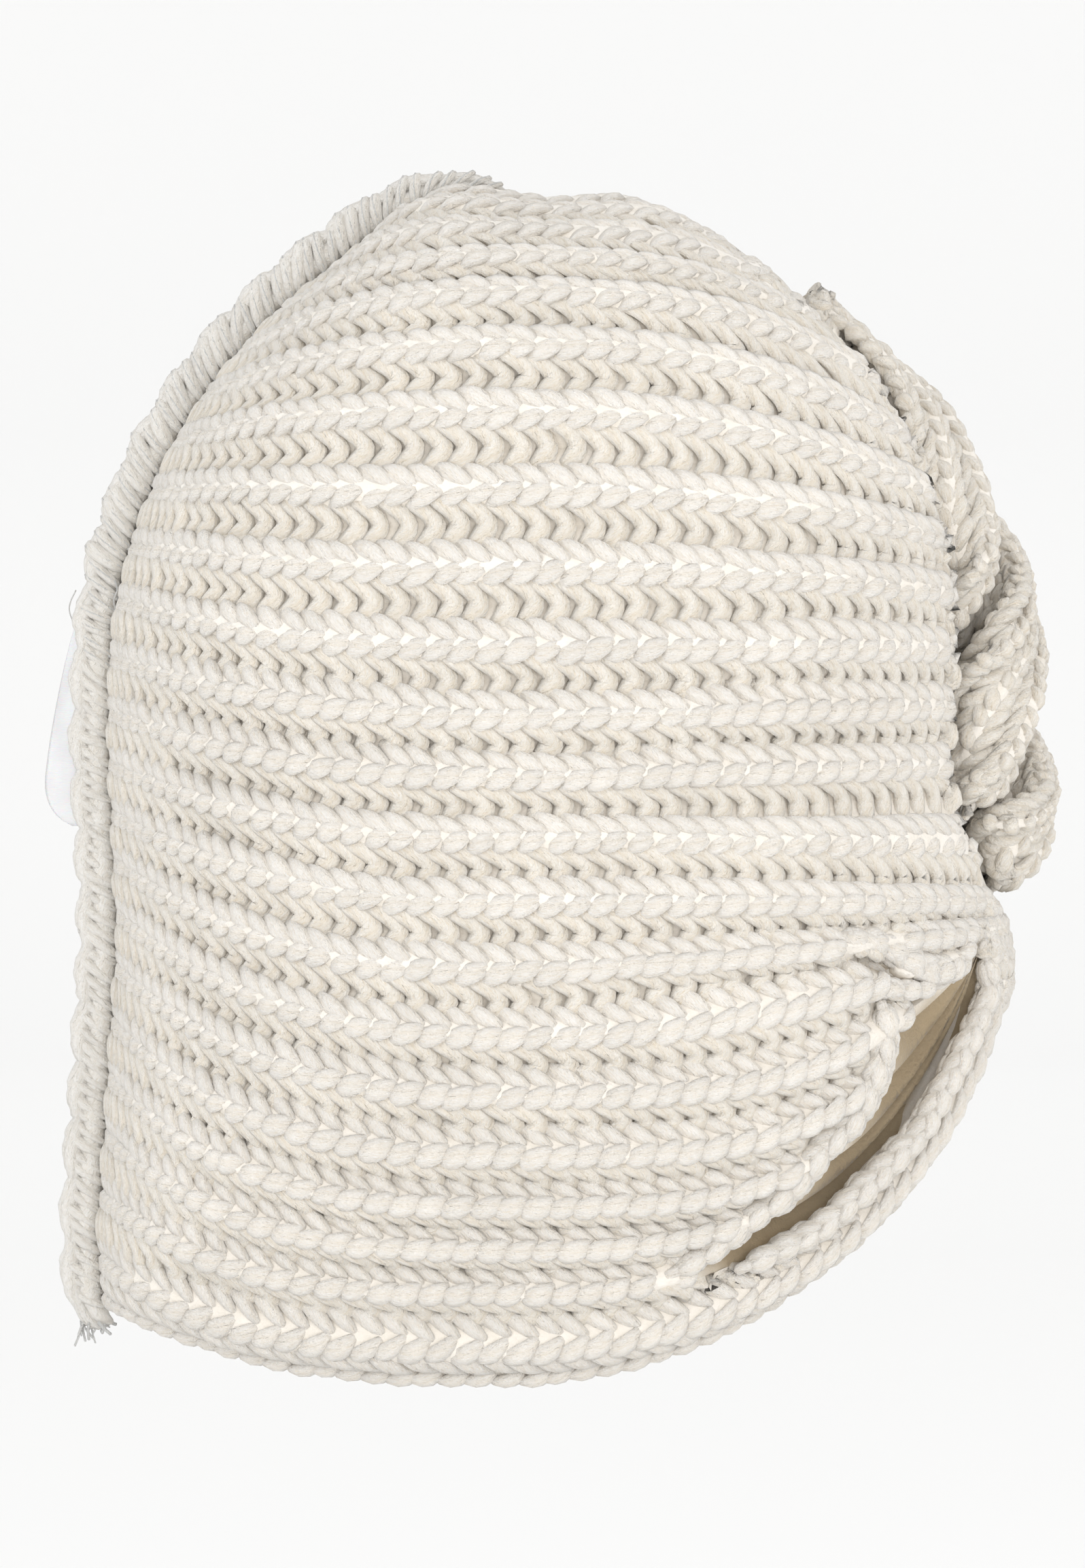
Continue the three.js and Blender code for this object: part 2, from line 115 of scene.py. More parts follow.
# The twist down the front: its outermost line, thickness, half width and how far it has turned
TWIST = table("x z thick half turn", [
    (46.9, -10.1, 1.4, 5, -20), (50, -12.3, 3.6, 12, -10), (59.4, -19.8, 9, 18, 5),
    (69, -29.3, 14.5, 22, 35), (75.4, -39.8, 16.5, 24, 65), (79.2, -47.6, 17.2, 25, 90),
    (83.2, -55.4, 18.4, 26, 125), (85.8, -65.4, 19.2, 26, 180), (87.2, -75.2, 19.6, 26, 230),
    (87, -85, 20, 26, 270), (88, -92.6, 21, 26, 310), (88.9, -99.5, 21, 25, 350),
    (87.4, -107, 18.4, 21, 400), (83.2, -114, 11, 15, 440), (80.6, -115.8, 4.4, 8, 450),
])
TWIST["at"] = linspace(0, 1, len(TWIST["x"]))

# The knit's own sizes
STITCH = 4.6  # length of a stitch along its rib
GROUND_DEPTH = 0.18  # how far the ground fabric lies under the outer form at the ridges
VALLEY_DEPTH = 0.62  # how much further it lies under it in the valleys
VALLEY_SHADE = 0.16  # how dark the ground's painted shade is there
RIM_TURN = 5.2  # how far the edge of the rim rolls under in each rib's width, in radians
SEAM_FADE = 0.12  # the share of a row over which its ribs rise from the back seam
FRONT_FROM, FRONT_FADE, FRONT_LEAST = 0.85, 0.3, 0.35  # where they sink in front, how far and to what
GATHER_RIB, GATHER_FROM, GATHER_LEAST = 14.5, 1.6, 0.5  # the same for the gathered ribs below this one


def read(rows, key, column, at):
    """A smooth curve through one column of a table, read at places in its key column."""
    keys, values = rows[key], rows[column]
    last = len(keys) - 1
    before = maximum(arange(last + 1) - 1, 0)
    after = minimum(arange(last + 1) + 1, last)
    slope = (values[after] - values[before]) / (keys[after] - keys[before])
    at = np.asarray(at, float)
    i = clip(np.searchsorted(keys[1:-1], at, side="left"), 0, last - 1)
    span = keys[i + 1] - keys[i]
    t = clip((at - keys[i]) / span, 0, 1)
    start = (2 * t**3 - 3 * t**2 + 1) * values[i] + (t**3 - 2 * t**2 + t) * span * slope[i]
    return start + (3 * t**2 - 2 * t**3) * values[i + 1] + (t**3 - t**2) * span * slope[i + 1]


def read_all(rows, key, at):
    """Every other column of a table, read at places in its key column."""
    return {column: read(rows, key, column, at) for column in rows if column != key}


def smoothed(rows, count):
    """A path's table, spread over more samples."""
    keys = linspace(0, 1, len(next(iter(rows.values()))))
    return read_all({"key": keys, **rows}, "key", linspace(0, 1, count))


def eased(t):
    """A share from 0 to 1 that starts and ends gently."""
    return t * t * (3 - 2 * t)


def unit(v):
    return v / maximum(np.linalg.norm(v, axis=-1, keepdims=True), 1e-9)


def turned_to(n, facing):
    """Directions, turned round where they point away from what they should face."""
    return where((n * facing).sum(-1, keepdims=True) < 0, -n, n)


def run_length(points):
    """The length along a line of points, from its start."""
    return join([[0], np.cumsum(np.linalg.norm(np.diff(points, axis=0), axis=1))])


def matched(rib, along):
    """Ribs and places along them as arrays of one shape."""
    return np.broadcast_arrays(np.asarray(rib, float), np.asarray(along, float))


# The outline as a closed curve, with some of its points once more before and after the full turn
OUTLINE_ROUND = {column: join([values[-1:] - turn, values, values[:2] + turn])
                 for (column, values), turn in zip(OUTLINE.items(), (360, 0))}


def reach_at(angle):
    return read(OUTLINE_ROUND, "angle", "reach", np.mod(angle, 360))


def polar(x, z):
    dx, dz = x - CENTRE[0], z - CENTRE[1]
    angle = np.degrees(np.arctan2(dz, dx))
    return angle, hypot(dx, dz) / reach_at(angle)


def from_polar(angle, share):
    reach = reach_at(angle) * share
    return CENTRE[0] + reach * cos(radians(angle)), CENTRE[1] + reach * sin(radians(angle))


def powers(angle):
    """The form of the head under the knit, as the powers of its rounded section."""
    s = sin(radians(angle))
    top, bottom = maximum(s, 0) ** 2, maximum(-s, 0) ** 2
    return FORM_ROUND + FORM_TOP * top + FORM_BOTTOM * bottom, FORM_SIDE + FORM_SIDE_TOP * top


def half_width_at(x, z):
    angle, share = polar(x, z)
    rounded, side = powers(angle)
    return HALF_WIDTH * maximum(1 - share**rounded, 0) ** (1 / side)


def outward(p):
    """The direction out of the head form at points of the knit on the wearer's right."""
    angle, share = polar(p[..., 0], p[..., 2])
    rounded, side = powers(angle)
    radial = rounded * share ** (rounded - 1) / reach_at(angle)
    sideways = side * (np.abs(p[..., 1]) / HALF_WIDTH) ** (side - 1) / HALF_WIDTH
    a = radians(angle)
    across = where(p[..., 1] == 0, 0, np.sign(p[..., 1]) * sideways)
    return unit(stack([cos(a) * radial, across, sin(a) * radial], -1))


def valley_point(rib, along):
    """A point of the knit below the crown ribs: along is 0 at the seam, 1 at the twist, 2 in the middle."""
    row = read_all(VALLEYS, "rib", rib)
    seam_x, seam_z = from_polar(row["seam"], 1)
    reached = minimum(along, 1)
    steepness = SEAM_STEEPNESS + maximum(rib - STEEPER_FROM, 0) / STEEPER_RIBS
    back = maximum(1 - reached / EAR_LINE, 0) ** steepness
    past = maximum((reached - EAR_LINE) / (1 - EAR_LINE), 0)
    front = 1 - maximum(1 - past ** row["turn"], 0) ** row["bend"]
    x = seam_x + (row["end_x"] - seam_x) * reached
    z = row["ear"] + (seam_z - row["ear"]) * back + (row["end_z"] - row["ear"]) * front
    y = where(along <= 0, 0, -half_width_at(x, z))
    turned = clip(along - 1, 0, 1) * pi / 2
    s, c = sin(turned), cos(turned)
    return stack([x + (row["mid_x"] - x) * s, y * c, z + (row["mid_z"] - z) * s], -1)


def knit_point(rib, along):
    """A point of the knit, over the whole hat on the wearer's right."""
    below = valley_point(maximum(rib, CROWN_RIBS), along)
    t = minimum(rib / CROWN_RIBS, 1)
    angle, share = polar(below[..., 0], below[..., 2])
    top = where(
        along < 1,
        CROWN_BACK + (CROWN_FRONT - CROWN_BACK) * along,
        CROWN_FRONT + (CROWN_END - CROWN_FRONT) * (along - 1),
    )
    x, z = from_polar(top + (angle - top) * t, 1 - (1 - share) * t * t)
    over = stack([x, below[..., 1] * t, z], -1)
    return where((rib < CROWN_RIBS)[..., None], over, below)


def groove_depth(rows, x, z, spread=1):
    """How deep a groove is at a place in the side view."""
    nearest = np.full(np.shape(x), np.inf)
    depth, half = np.zeros(np.shape(x)), np.ones(np.shape(x))
    for i in range(len(rows["x"]) - 1):
        a, b = ({column: values[j] for column, values in rows.items()} for j in (i, i + 1))
        dx, dz = b["x"] - a["x"], b["z"] - a["z"]
        t = clip(((x - a["x"]) * dx + (z - a["z"]) * dz) / (dx * dx + dz * dz), 0, 1)
        distance = hypot(x - a["x"] - dx * t, z - a["z"] - dz * t)
        closer = distance < nearest
        nearest = where(closer, distance, nearest)
        depth = where(closer, a["depth"] + (b["depth"] - a["depth"]) * t, depth)
        half = where(closer, a["half"] + (b["half"] - a["half"]) * t, half)
    return depth / (1 + (nearest / (half * spread)) ** POCKET_WALLS)


def pocket_depth(x, z):
    """How far the pocket and the crease above it sink the knit."""
    return maximum(groove_depth(POCKET, x, z), groove_depth(LIP_CREASE, x, z))


def rib_height(rib, along):
    """Height of the rib relief, which fades at the seam, at the twist and at the forehead."""
    seam_fade = clip(along / SEAM_FADE, 0, 1)
    front_fade = clip(1 - maximum(along - FRONT_FROM, 0) / FRONT_FADE, FRONT_LEAST, 1)
    in_gathers = (rib > GATHER_RIB) & (along > 1)
    gathered = where(in_gathers, clip(GATHER_FROM - along, GATHER_LEAST, 1), 1)
    return -RIB_RELIEF / 2 * cos(rib * tau) * seam_fade * front_fade * gathered


def smooth_surface(rib, along):
    """The knit without its ribs, with the pocket sunk in. Ribs below 0 are on the other side."""
    rib, along = matched(rib, along)
    p = knit_point(np.abs(rib), along)
    sunk = pocket_depth(p[..., 0], p[..., 2])
    p[..., 1] = minimum(p[..., 1] + sunk, 0)
    p[..., 1] *= where(rib < 0, -1, 1)
    return p


RIB_STEP, ALONG_STEP, MIDDLE_STEP = 0.06, 0.008, 0.02  # how far apart the hat's slopes are read
MIDDLE_FROM = 1.9  # from here on, by the middle plane, the last step is used
HEAD_SHARE = 0.25  # how much the knit's directions follow the head's


def hat_surface(rib, along):
    """Points of the outer form with its ribs, and the directions out of it. Past the rim it rolls under."""
    rib, along = matched(rib, along)
    roll = maximum(rib - RIBS, 0) * RIM_TURN
    rib = minimum(rib, RIBS)
    p = smooth_surface(rib, along)
    by_rib = smooth_surface(rib + RIB_STEP, along) - smooth_surface(rib - RIB_STEP, along)
    step = where(along > MIDDLE_FROM, MIDDLE_STEP, ALONG_STEP)
    before, after = maximum(along - step, 0.001), minimum(along + step, 2)
    facing = outward(p)
    by_along = smooth_surface(rib, after) - smooth_surface(rib, before)
    n = turned_to(unit(cross(by_rib, by_along)), facing)
    n = unit(n + HEAD_SHARE * facing)
    p = p + n * rib_height(np.abs(rib), along)[..., None]
    s, c = sin(roll)[..., None], cos(roll)[..., None]
    beyond = unit(by_rib - n * (by_rib * n).sum(-1, keepdims=True))
    return p + (beyond * s - n * (1 - c)) * WALL / 2, n * c + beyond * s


# A strand's section, as shares of the twist's half thickness and half width, and how square it is
STRAND_MIDDLE, STRAND_DEEP, STRAND_WIDE, STRAND_SQUARE = 0.52, 0.47, 0.87, 0.8
STRAND_RIB = 12.5  # the width of a rib round it
STRAND_INSET = 0.7  # how far its yarn is drawn in
STRAND_RIB_STEP, STRAND_STEP = 0.08, 0.012  # how far apart its slopes are read


def strand_point(turned, angle, along):
    """A point of a strand at an angle round its section, and the middle of the twist there."""
    get = read_all(TWIST, "at", along)
    ahead, behind = minimum(along + 0.01, 1), maximum(along - 0.01, 0)
    dx = read(TWIST, "at", "x", ahead) - read(TWIST, "at", "x", behind)
    dz = read(TWIST, "at", "z", ahead) - read(TWIST, "at", "z", behind)
    out = unit(stack([-dz, 0 * dz, dx], -1))
    half = get["thick"] / 2
    middle = stack([get["x"], 0 * half, get["z"]], -1) - out * half[..., None]
    facing = radians(get["turn"] + turned)
    away = STRAND_MIDDLE + STRAND_DEEP * np.sign(cos(angle)) * np.abs(cos(angle)) ** STRAND_SQUARE
    across = STRAND_WIDE * np.sign(sin(angle)) * np.abs(sin(angle)) ** STRAND_SQUARE
    outwards = away * cos(facing) - across * sin(facing)
    near = away * sin(facing) + across * cos(facing)
    p = middle + out * (outwards * half)[..., None]
    p[..., 1] = -near * get["half"]
    return p, middle


class Strand:
    """One strand of the twist: rib counts its ribs round it from the crest, and along runs down it."""

    PLACES = linspace(0, 1, 81)
    ROUND = radians(arange(-360, 361, 3))
    REACH = arange(-70, 70.5, 1)  # millimetres round the section
    OVERLAP = 0.3  # the share of a rib that is still knitted past the far side

    def __init__(self, turned):
        self.turned = turned
        angles, halves = [], []
        for place in self.PLACES:
            ring, _ = strand_point(turned, self.ROUND, np.full(self.ROUND.shape, place))
            length = run_length(ring)
            length -= length[len(length) // 2]
            angles.append(interp(self.REACH, length, self.ROUND))
            halves.append(length[-1] / 2)
        self.angles, self.halves = np.array(angles), np.array(halves)

    def shown(self, rib, along):
        """True for the ribs that aren't past the far side of the section."""
        half = interp(along, self.PLACES, self.halves)
        return np.abs(rib) * STRAND_RIB < half + self.OVERLAP * STRAND_RIB

    def angle(self, rib, along):
        """The angle round the section at which a rib lies."""
        column = clip(rib * STRAND_RIB - self.REACH[0], 0, len(self.REACH) - 1.001)
        row = clip(along, 0, 1) * (len(self.PLACES) - 1.001)
        i, j = row.astype(int), column.astype(int)
        u, v = row - i, column - j
        here = self.angles[i, j] * (1 - v) + self.angles[i, j + 1] * v
        below = self.angles[i + 1, j] * (1 - v) + self.angles[i + 1, j + 1] * v
        return here * (1 - u) + below * u

    def at(self, rib, along):
        along = clip(along, 0, 1)
        return strand_point(self.turned, self.angle(rib, along), along)

    def __call__(self, rib, along):
        rib, along = matched(rib, along)
        p, middle = self.at(rib, along)
        round_it = self.at(rib + STRAND_RIB_STEP, along)[0] - self.at(rib - STRAND_RIB_STEP, along)[0]
        down_it = self.at(rib, along + STRAND_STEP)[0] - self.at(rib, along - STRAND_STEP)[0]
        n = turned_to(unit(cross(round_it, down_it)), p - middle)
        relief = RIB_RELIEF / 2 * cos(rib * tau) - STRAND_INSET
        return p + n * relief[..., None], n


def leg_paths(up, down):
    """The yarn's path through a stitch, on knit that faces up and on knit that faces down, where the other
    flank of the rib shows: stitches ahead, ribs down from the ridge's middle, and millimetres."""
    return {"up": table("ahead down lift wide", up), "down": table("ahead down lift wide", down)}


RIDGE_UPPER = leg_paths([
    (-0.85, -0.205, -0.4, 1), (-0.35, -0.17, 0.4, 1.7), (0.15, -0.11, 0.5, 1.65), (0.6, -0.02, -0.1, 1.05),
], [
    (-0.8, -0.5, -0.3, 1.15), (-0.35, -0.42, 0.4, 1.7), (0.15, -0.3, 0.45, 1.65),
    (0.62, -0.175, -0.15, 0.9),
])
RIDGE_LOWER = leg_paths([
    (0.6, 0.02, -0.15, 1.05), (0.2, 0.095, 0.35, 1.7), (-0.2, 0.165, 0.3, 1.7), (-0.6, 0.235, -0.4, 1),
], [
    (0.6, -0.15, -0.2, 1), (0.22, -0.07, 0.35, 1.8), (-0.2, 0.025, 0.35, 1.95), (-0.6, 0.125, -0.2, 1.3),
])
VALLEY_LEG = leg_paths([
    (-0.8, 0.19, -0.3, 1.1), (-0.36, 0.25, 0.45, 1.55), (0.06, 0.335, 0.75, 1.7), (0.33, 0.435, 0.8, 1.9),
    (0.38, 0.545, 0.6, 2.05), (0.25, 0.66, 0.3, 2), (0, 0.77, -0.3, 1.65),
], [
    (-0.75, 0.14, -0.3, 1.1), (-0.33, 0.19, 0.35, 1.55), (0.08, 0.26, 0.65, 1.75), (0.33, 0.345, 0.75, 1.9),
    (0.38, 0.45, 0.7, 2.05), (0.3, 0.56, 0.45, 2), (0.14, 0.67, -0.3, 1.65),
])
RIDGE_ABOVE = -0.5  # the ridge that a valley's path is counted from
LEG_SAMPLES = {4: 6, 7: 10}  # by the number of points in its path
LEG_SIDES = 7
LEG_SUNK = 0.8  # how far the legs' middle lies under the outer form
LEG_FLAT = 0.62  # a leg's height as a share of its width
SLIP, SHIFT, UNEVEN, SWELL = 0.045, 0.012, 0.12, 0.05  # how much a leg's ahead, down, lift and width vary
SMOOTH_SINK = 0.42  # how much deeper the legs lie on the front, where the knit looks smooth
SMOOTH_FROM, SMOOTH_OVER = 0.8, 0.4  # where along its row that starts, and over how far
SEAM_SHARE, SEAM_OVER = 0.4, 0.16  # the share of it by the seam, and over how far
ROUND_END = 0.7  # how far a yarn's end reaches past its last ring, as a share of its half width


def drawn_smooth(along):
    """How much deeper the legs lie at a place along their row."""
    by_seam = SEAM_SHARE * clip(1 - along / SEAM_OVER, 0, 1)
    on_front = clip((along - SMOOTH_FROM) / SMOOTH_OVER, 0, 1)
    return SMOOTH_SINK * eased(maximum(by_seam, on_front))


def tube_faces(rings, sides, reverse=False):
    """The faces of a tube of rings of corners. Two more corners after them close its ends."""
    j = arange(sides)
    k = (j + 1) % sides
    if reverse:
        j, k = k, j
    i = arange(rings - 1)[:, None] * sides
    quads = stack([i + k, i + j, i + sides + j, i + sides + k], -1).reshape(-1, 4)
    size = rings * sides
    last = size - sides
    caps = [stack([j, k, 0 * j + size], -1), stack([last + k, last + j, 0 * j + size + 1], -1)]
    return quads, join(caps)


def sweep(centres, normals, wide, high, sides):
    """Closed tubes through rows of points: all their corners, and the faces and yarn coordinates."""
    count, samples = centres.shape[:2]
    wide, high = np.broadcast_to(wide, (count, samples)), np.broadcast_to(high, (count, samples))
    tangent = unit(np.gradient(centres, axis=1))
    across = unit(cross(tangent, normals))
    up = cross(across, tangent)
    a = arange(sides) * tau / sides
    ring = (across[:, :, None] * (wide[:, :, None] * cos(a))[..., None]
            + up[:, :, None] * (high[:, :, None] * sin(a))[..., None])
    rings = centres[:, :, None] + ring
    first = centres[:, :1] - tangent[:, :1] * wide[:, :1, None] * ROUND_END
    last = centres[:, -1:] + tangent[:, -1:] * wide[:, -1:, None] * ROUND_END
    corners = join([rings.reshape(count, -1, 3), first, last], 1)
    steps = np.linalg.norm(np.diff(centres, axis=1), axis=-1)
    length = join([np.zeros((count, 1)), np.cumsum(steps, 1)], 1)
    yarn = stack(np.broadcast_arrays(cos(a), sin(a), length[:, :, None]), -1).reshape(count, -1, 3)
    ends = np.zeros((count, 2, 3))
    ends[..., 1] = 1
    ends[..., 2] = length[:, [0, -1]]
    return corners, *tube_faces(samples, sides), join([yarn, ends], 1)


def collect(parts):
    """Several sweeps as one set of corners, quads, triangles and point values."""
    made = [[], [], [], [], []]
    base = 0
    for points, quads, triangles, yarn, tone in parts:
        count, size = points.shape[:2]
        first = base + arange(count)[:, None, None] * size
        rows = (points.reshape(-1, 3), (quads + first).reshape(-1, 4), (triangles + first).reshape(-1, 3),
                yarn.reshape(-1, 3), np.repeat(tone, size))
        for values, row in zip(made, rows):
            values.append(row)
        base += count * size
    return [join(values) for values in made]


NO_TRIANGLES = np.zeros((0, 3), int)


def make_object(name, corners, quads, triangles, material, **values):
    """A mesh object from corners in millimetres, with values kept on its points for its material."""
    faces = join([np.ravel(quads), np.ravel(triangles)])
    starts = join([arange(len(quads)) * 4, len(quads) * 4 + arange(len(triangles)) * 3])
    mesh = bpy.data.meshes.new(name)
    mesh.vertices.add(len(corners))
    mesh.vertices.foreach_set("co", (np.asarray(corners) * MM).astype(np.float32).ravel())
    mesh.loops.add(len(faces))
    mesh.loops.foreach_set("vertex_index", faces.astype(np.int32))
    mesh.polygons.add(len(starts))
    mesh.polygons.foreach_set("loop_start", starts.astype(np.int32))
    mesh.polygons.foreach_set("use_smooth", np.ones(len(starts), bool))
    mesh.update(calc_edges=True)
    for key, value in values.items():
        value = np.asarray(value, np.float32)
        kind, field = ("FLOAT_VECTOR", "vector") if value.ndim == 2 else ("FLOAT", "value")
        mesh.attributes.new(key, kind, "POINT").data.foreach_set(field, value.ravel())
    mesh.materials.append(material)
    obj = bpy.data.objects.new(name, mesh)
    bpy.context.collection.objects.link(obj)
    return obj


def yarn_object(name, parts, material, mirrored=False):
    """One piece made of several sweeps of yarn, on the wearer's right or mirrored to the left."""
    corners, quads, triangles, yarn, tone = collect(parts)
    if mirrored:
        corners, quads, triangles = corners * (1, -1, 1), quads[:, ::-1], triangles[:, ::-1]
    return make_object(name, corners, quads, triangles, material, yarn=yarn, tone=tone)


def yarn_piece(name, sweeps, material):
    """One piece made of sweeps that have no tones yet."""
    return yarn_object(name, [(*swept, rng.uniform(0, 1, len(swept[0]))) for swept in sweeps], material)


def rib_lines(surface, ribs, start, stop, shown, bunched=1):
    """Rows of stitches: the rib, places along it and their lengths, and the stitches' length and middles.
    bunched above 1 reads the rows more finely where they start."""
    samples = start + (stop - start) * linspace(0, 1, 361) ** bunched
    lines = []
    for rib in ribs:
        length = run_length(surface(rib, samples)[0])
        count = max(round(length[-1] / STITCH), 1)
        middles = (arange(count) + 0.5) * length[-1] / count
        kept = shown(rib, interp(middles, length, samples))
        if kept.any():
            lines.append((rib, samples, length, length[-1] / count, middles[kept]))
    return lines


EAR_TILT, EAR_BLEND = 0.12, 0.34  # the tilt up from which knit starts to face down, and over which


def facing_down(normals):
    """0 on knit that faces up and 1 on knit that faces down, changing smoothly at the ears."""
    return eased(clip((EAR_TILT - normals[..., 2]) / EAR_BLEND, 0, 1))


def stitch_legs(surface, lines, form, offset=0, sense=1, scale=1, sink=0):
    """One leg of yarn for each stitch of the lines. sense is -1 where the knit runs the other way."""
    steps = LEG_SAMPLES[len(form["up"]["ahead"])]
    up, down = smoothed(form["up"], steps), smoothed(form["down"], steps)
    parts = []
    for rib, samples, length, pitch, middles in lines:
        w = facing_down(surface(rib, interp(middles, length, samples))[1])[:, None]
        path = {c: up[c][None] * (1 - w) + down[c][None] * w for c in up}
        count = len(middles)

        def uneven(middle, spread):
            return rng.normal(middle, spread, (count, 1))

        place = middles[:, None] + sense * (path["ahead"] + uneven(0, SLIP)) * pitch
        along = interp(place, length, samples)
        p, n = surface(rib + offset + path["down"] + uneven(0, SHIFT), along)
        deeper = sink(along) if callable(sink) else sink
        lift = path["lift"] + uneven(0, UNEVEN) - LEG_SUNK - deeper
        wide = path["wide"] * scale * uneven(1, SWELL)
        swept = sweep(p + n * lift[..., None], n, wide, wide * LEG_FLAT, LEG_SIDES)
        parts.append((*swept, rng.uniform(0, 1, count)))
    return parts


def ridge_legs(surface, lines, **drawn):
    """The two legs of every stitch of the ridges."""
    forms = (RIDGE_UPPER, RIDGE_LOWER)
    return [leg for form in forms for leg in stitch_legs(surface, lines, form, **drawn)]


def waver(down, pitch, phase):
    """A smooth uneven wave."""
    a = down * tau / pitch
    return (sin(a + phase) + 0.6 * sin(1.73 * a + 2 * phase) + 0.4 * sin(0.61 * a + 5 * phase)) / 2


# Materials
def shader(name, sockets):
    """A new material with the given values on its shader."""
    material = bpy.data.materials.new(name)
    material.use_nodes = True
    bsdf = material.node_tree.nodes["Principled BSDF"]
    for key, value in sockets.items():
        bsdf.inputs[key].default_value = value
    return material, material.node_tree, bsdf


def node(tree, kind, inputs=(), **settings):
    """A node with its settings, and its inputs linked or set in order."""
    made = tree.nodes.new("ShaderNode" + kind)
    for key, value in settings.items():
        setattr(made, key, value)
    for index, value in dict(inputs).items():
        if isinstance(value, bpy.types.NodeSocket):
            tree.links.new(value, made.inputs[index])
        else:
            made.inputs[index].default_value = value
    return made


def noise(tree, scale, detail, **more):
    """A noise texture's values."""
    return node(tree, "TexNoise", {"Scale": scale, "Detail": detail, **more}).outputs["Fac"]


def attribute(tree, name, kind="Fac"):
    """Values that are kept on the points of a piece."""
    return node(tree, "Attribute", attribute_name=name).outputs[kind]


def mixed(tree, factor, first, second):
    return node(tree, "Mix", {0: factor, 6: first, 7: second}, data_type="RGBA").outputs[2]


def ramp(tree, factor, *stops):
    """Colours by their place along a value, the outermost two first."""
    made = node(tree, "ValToRGB", {0: factor})
    elements = made.color_ramp.elements
    for i, (position, colour) in enumerate(stops):
        element = elements[i] if i < 2 else elements.new(position)
        element.position = position
        element.color = (*colour, 1)
    return made.outputs[0]


def bumps(tree, bsdf, *layers):
    """Bumps on a material, each with what it follows, its depth in metres and its strength."""
    inputs = {}
    for height, distance, strength in layers:
        inputs.update({"Height": height, "Distance": distance, "Strength": strength})
        inputs["Normal"] = node(tree, "Bump", inputs).outputs[0]
    tree.links.new(inputs["Normal"], bsdf.inputs["Normal"])


def yarn_material(name, dark_fibre_and_groove_shade, body, bright, plies=3, twist=0.4):
    """Soft plied yarn: plies that wind along each leg, fine fibres on them, and painted warm shade in the
    grooves between the plies.
    """
    material, tree, bsdf = shader(name, {
        "Roughness": 0.85, "Sheen Weight": 0.8, "Sheen Roughness": 0.35, "Sheen Tint": (1, 0.985, 0.955, 1),
        "Specular IOR Level": 0.25,
    })

    def calc(operation, *values):
        return node(tree, "Math", dict(enumerate(values)), operation=operation).outputs[0]

    place = node(tree, "TexCoord").outputs["Object"]
    across, up, down = node(tree, "SeparateXYZ", {0: attribute(tree, "yarn", "Vector")}).outputs
    tone = attribute(tree, "tone")
    around = calc("ARCTAN2", up, across)
    winding = calc("MULTIPLY", down, twist)
    ply = calc("ABSOLUTE", calc("SINE", calc("ADD", calc("MULTIPLY", around, plies / 2), winding)))
    ply = calc("POWER", ply, 0.6)
    turned = calc("ADD", around, calc("MULTIPLY", winding, 2 / plies))
    along = calc("ADD", calc("MULTIPLY", down, 0.14), calc("MULTIPLY", tone, 37))
    wound = node(tree, "CombineXYZ", {0: calc("COSINE", turned), 1: calc("SINE", turned), 2: along})
    fibre = noise(tree, 7.5, 5, Vector=wound.outputs[0], Roughness=0.65)
    fluff = noise(tree, 1900, 3, Vector=place, Roughness=0.6)
    cloud = noise(tree, 38, 2, Vector=place)
    bumps(tree, bsdf, (ply, 0.00028, 0.55), (fibre, 0.0006, 0.7), (fluff, 0.0004, 0.8))
    fibres = ramp(tree, fibre, (0.28, dark_fibre_and_groove_shade), (0.62, bright), (0.45, body))
    # Painted shade: the grooves between the plies are mixed towards the first, warm colour
    groove_shade_share = calc("MULTIPLY", calc("SUBTRACT", 1, ply), 0.45)
    shade = calc("ADD", calc("MULTIPLY", tone, 0.05), calc("MULTIPLY", cloud, 0.1))
    groove_shaded = mixed(tree, groove_shade_share, fibres, (*dark_fibre_and_groove_shade, 1))
    toned = node(tree, "HueSaturation", {"Value": calc("ADD", shade, 0.92), "Color": groove_shaded})
    tree.links.new(toned.outputs[0], bsdf.inputs["Base Color"])
    return material


def ground_material():
    """The knit's ground between the legs of yarn, with painted shade that darkens it in the pocket and the
    valleys, and its cloth-like inner face.
    """
    material, tree, bsdf = shader("knit_ground", {
        "Roughness": 0.95, "Sheen Weight": 0.25, "Sheen Roughness": 0.5, "Specular IOR Level": 0.15,
    })
    place = node(tree, "TexCoord").outputs["Object"]
    coarse = noise(tree, 260, 3, Vector=place)
    ivory = ramp(tree, coarse, (0.3, (0.86, 0.81, 0.73)), (0.7, (0.92, 0.88, 0.82)))
    # Painted shade: the ground is mixed towards dark brown by the shade value kept on its points
    shaded = mixed(tree, attribute(tree, "deep"), ivory, (0.46, 0.37, 0.25, 1))
    tree.links.new(shaded, bsdf.inputs["Base Color"])
    bumps(tree, bsdf, (noise(tree, 1400, 4, Vector=place), 0.0005, 0.7))
    return material


# Each yarn's first colour is painted shade in the grooves between its plies, and also the colour of its
# darkest fibres
IVORY = yarn_material("ivory_yarn", (0.83, 0.74, 0.61), (0.905, 0.86, 0.795), (0.95, 0.925, 0.885))
# A darker, warmer copy of the same ivory yarn: painted shade for the yarn in the valleys and on the twist
SHADED_IVORY = yarn_material("shaded_ivory_yarn", (0.8, 0.69, 0.53), (0.895, 0.84, 0.75), (0.945, 0.91, 0.85))
GROUND = ground_material()


# The ground of the knit: a closed shell whose outer face lies under the yarn
def grid_faces(rows, columns, flip):
    r, c = np.meshgrid(arange(rows - 1), arange(columns - 1), indexing="ij")
    a = (r * columns + c).ravel()
    quads = stack([a, a + 1, a + columns + 1, a + columns], -1)
    return quads[:, ::-1] if flip else quads


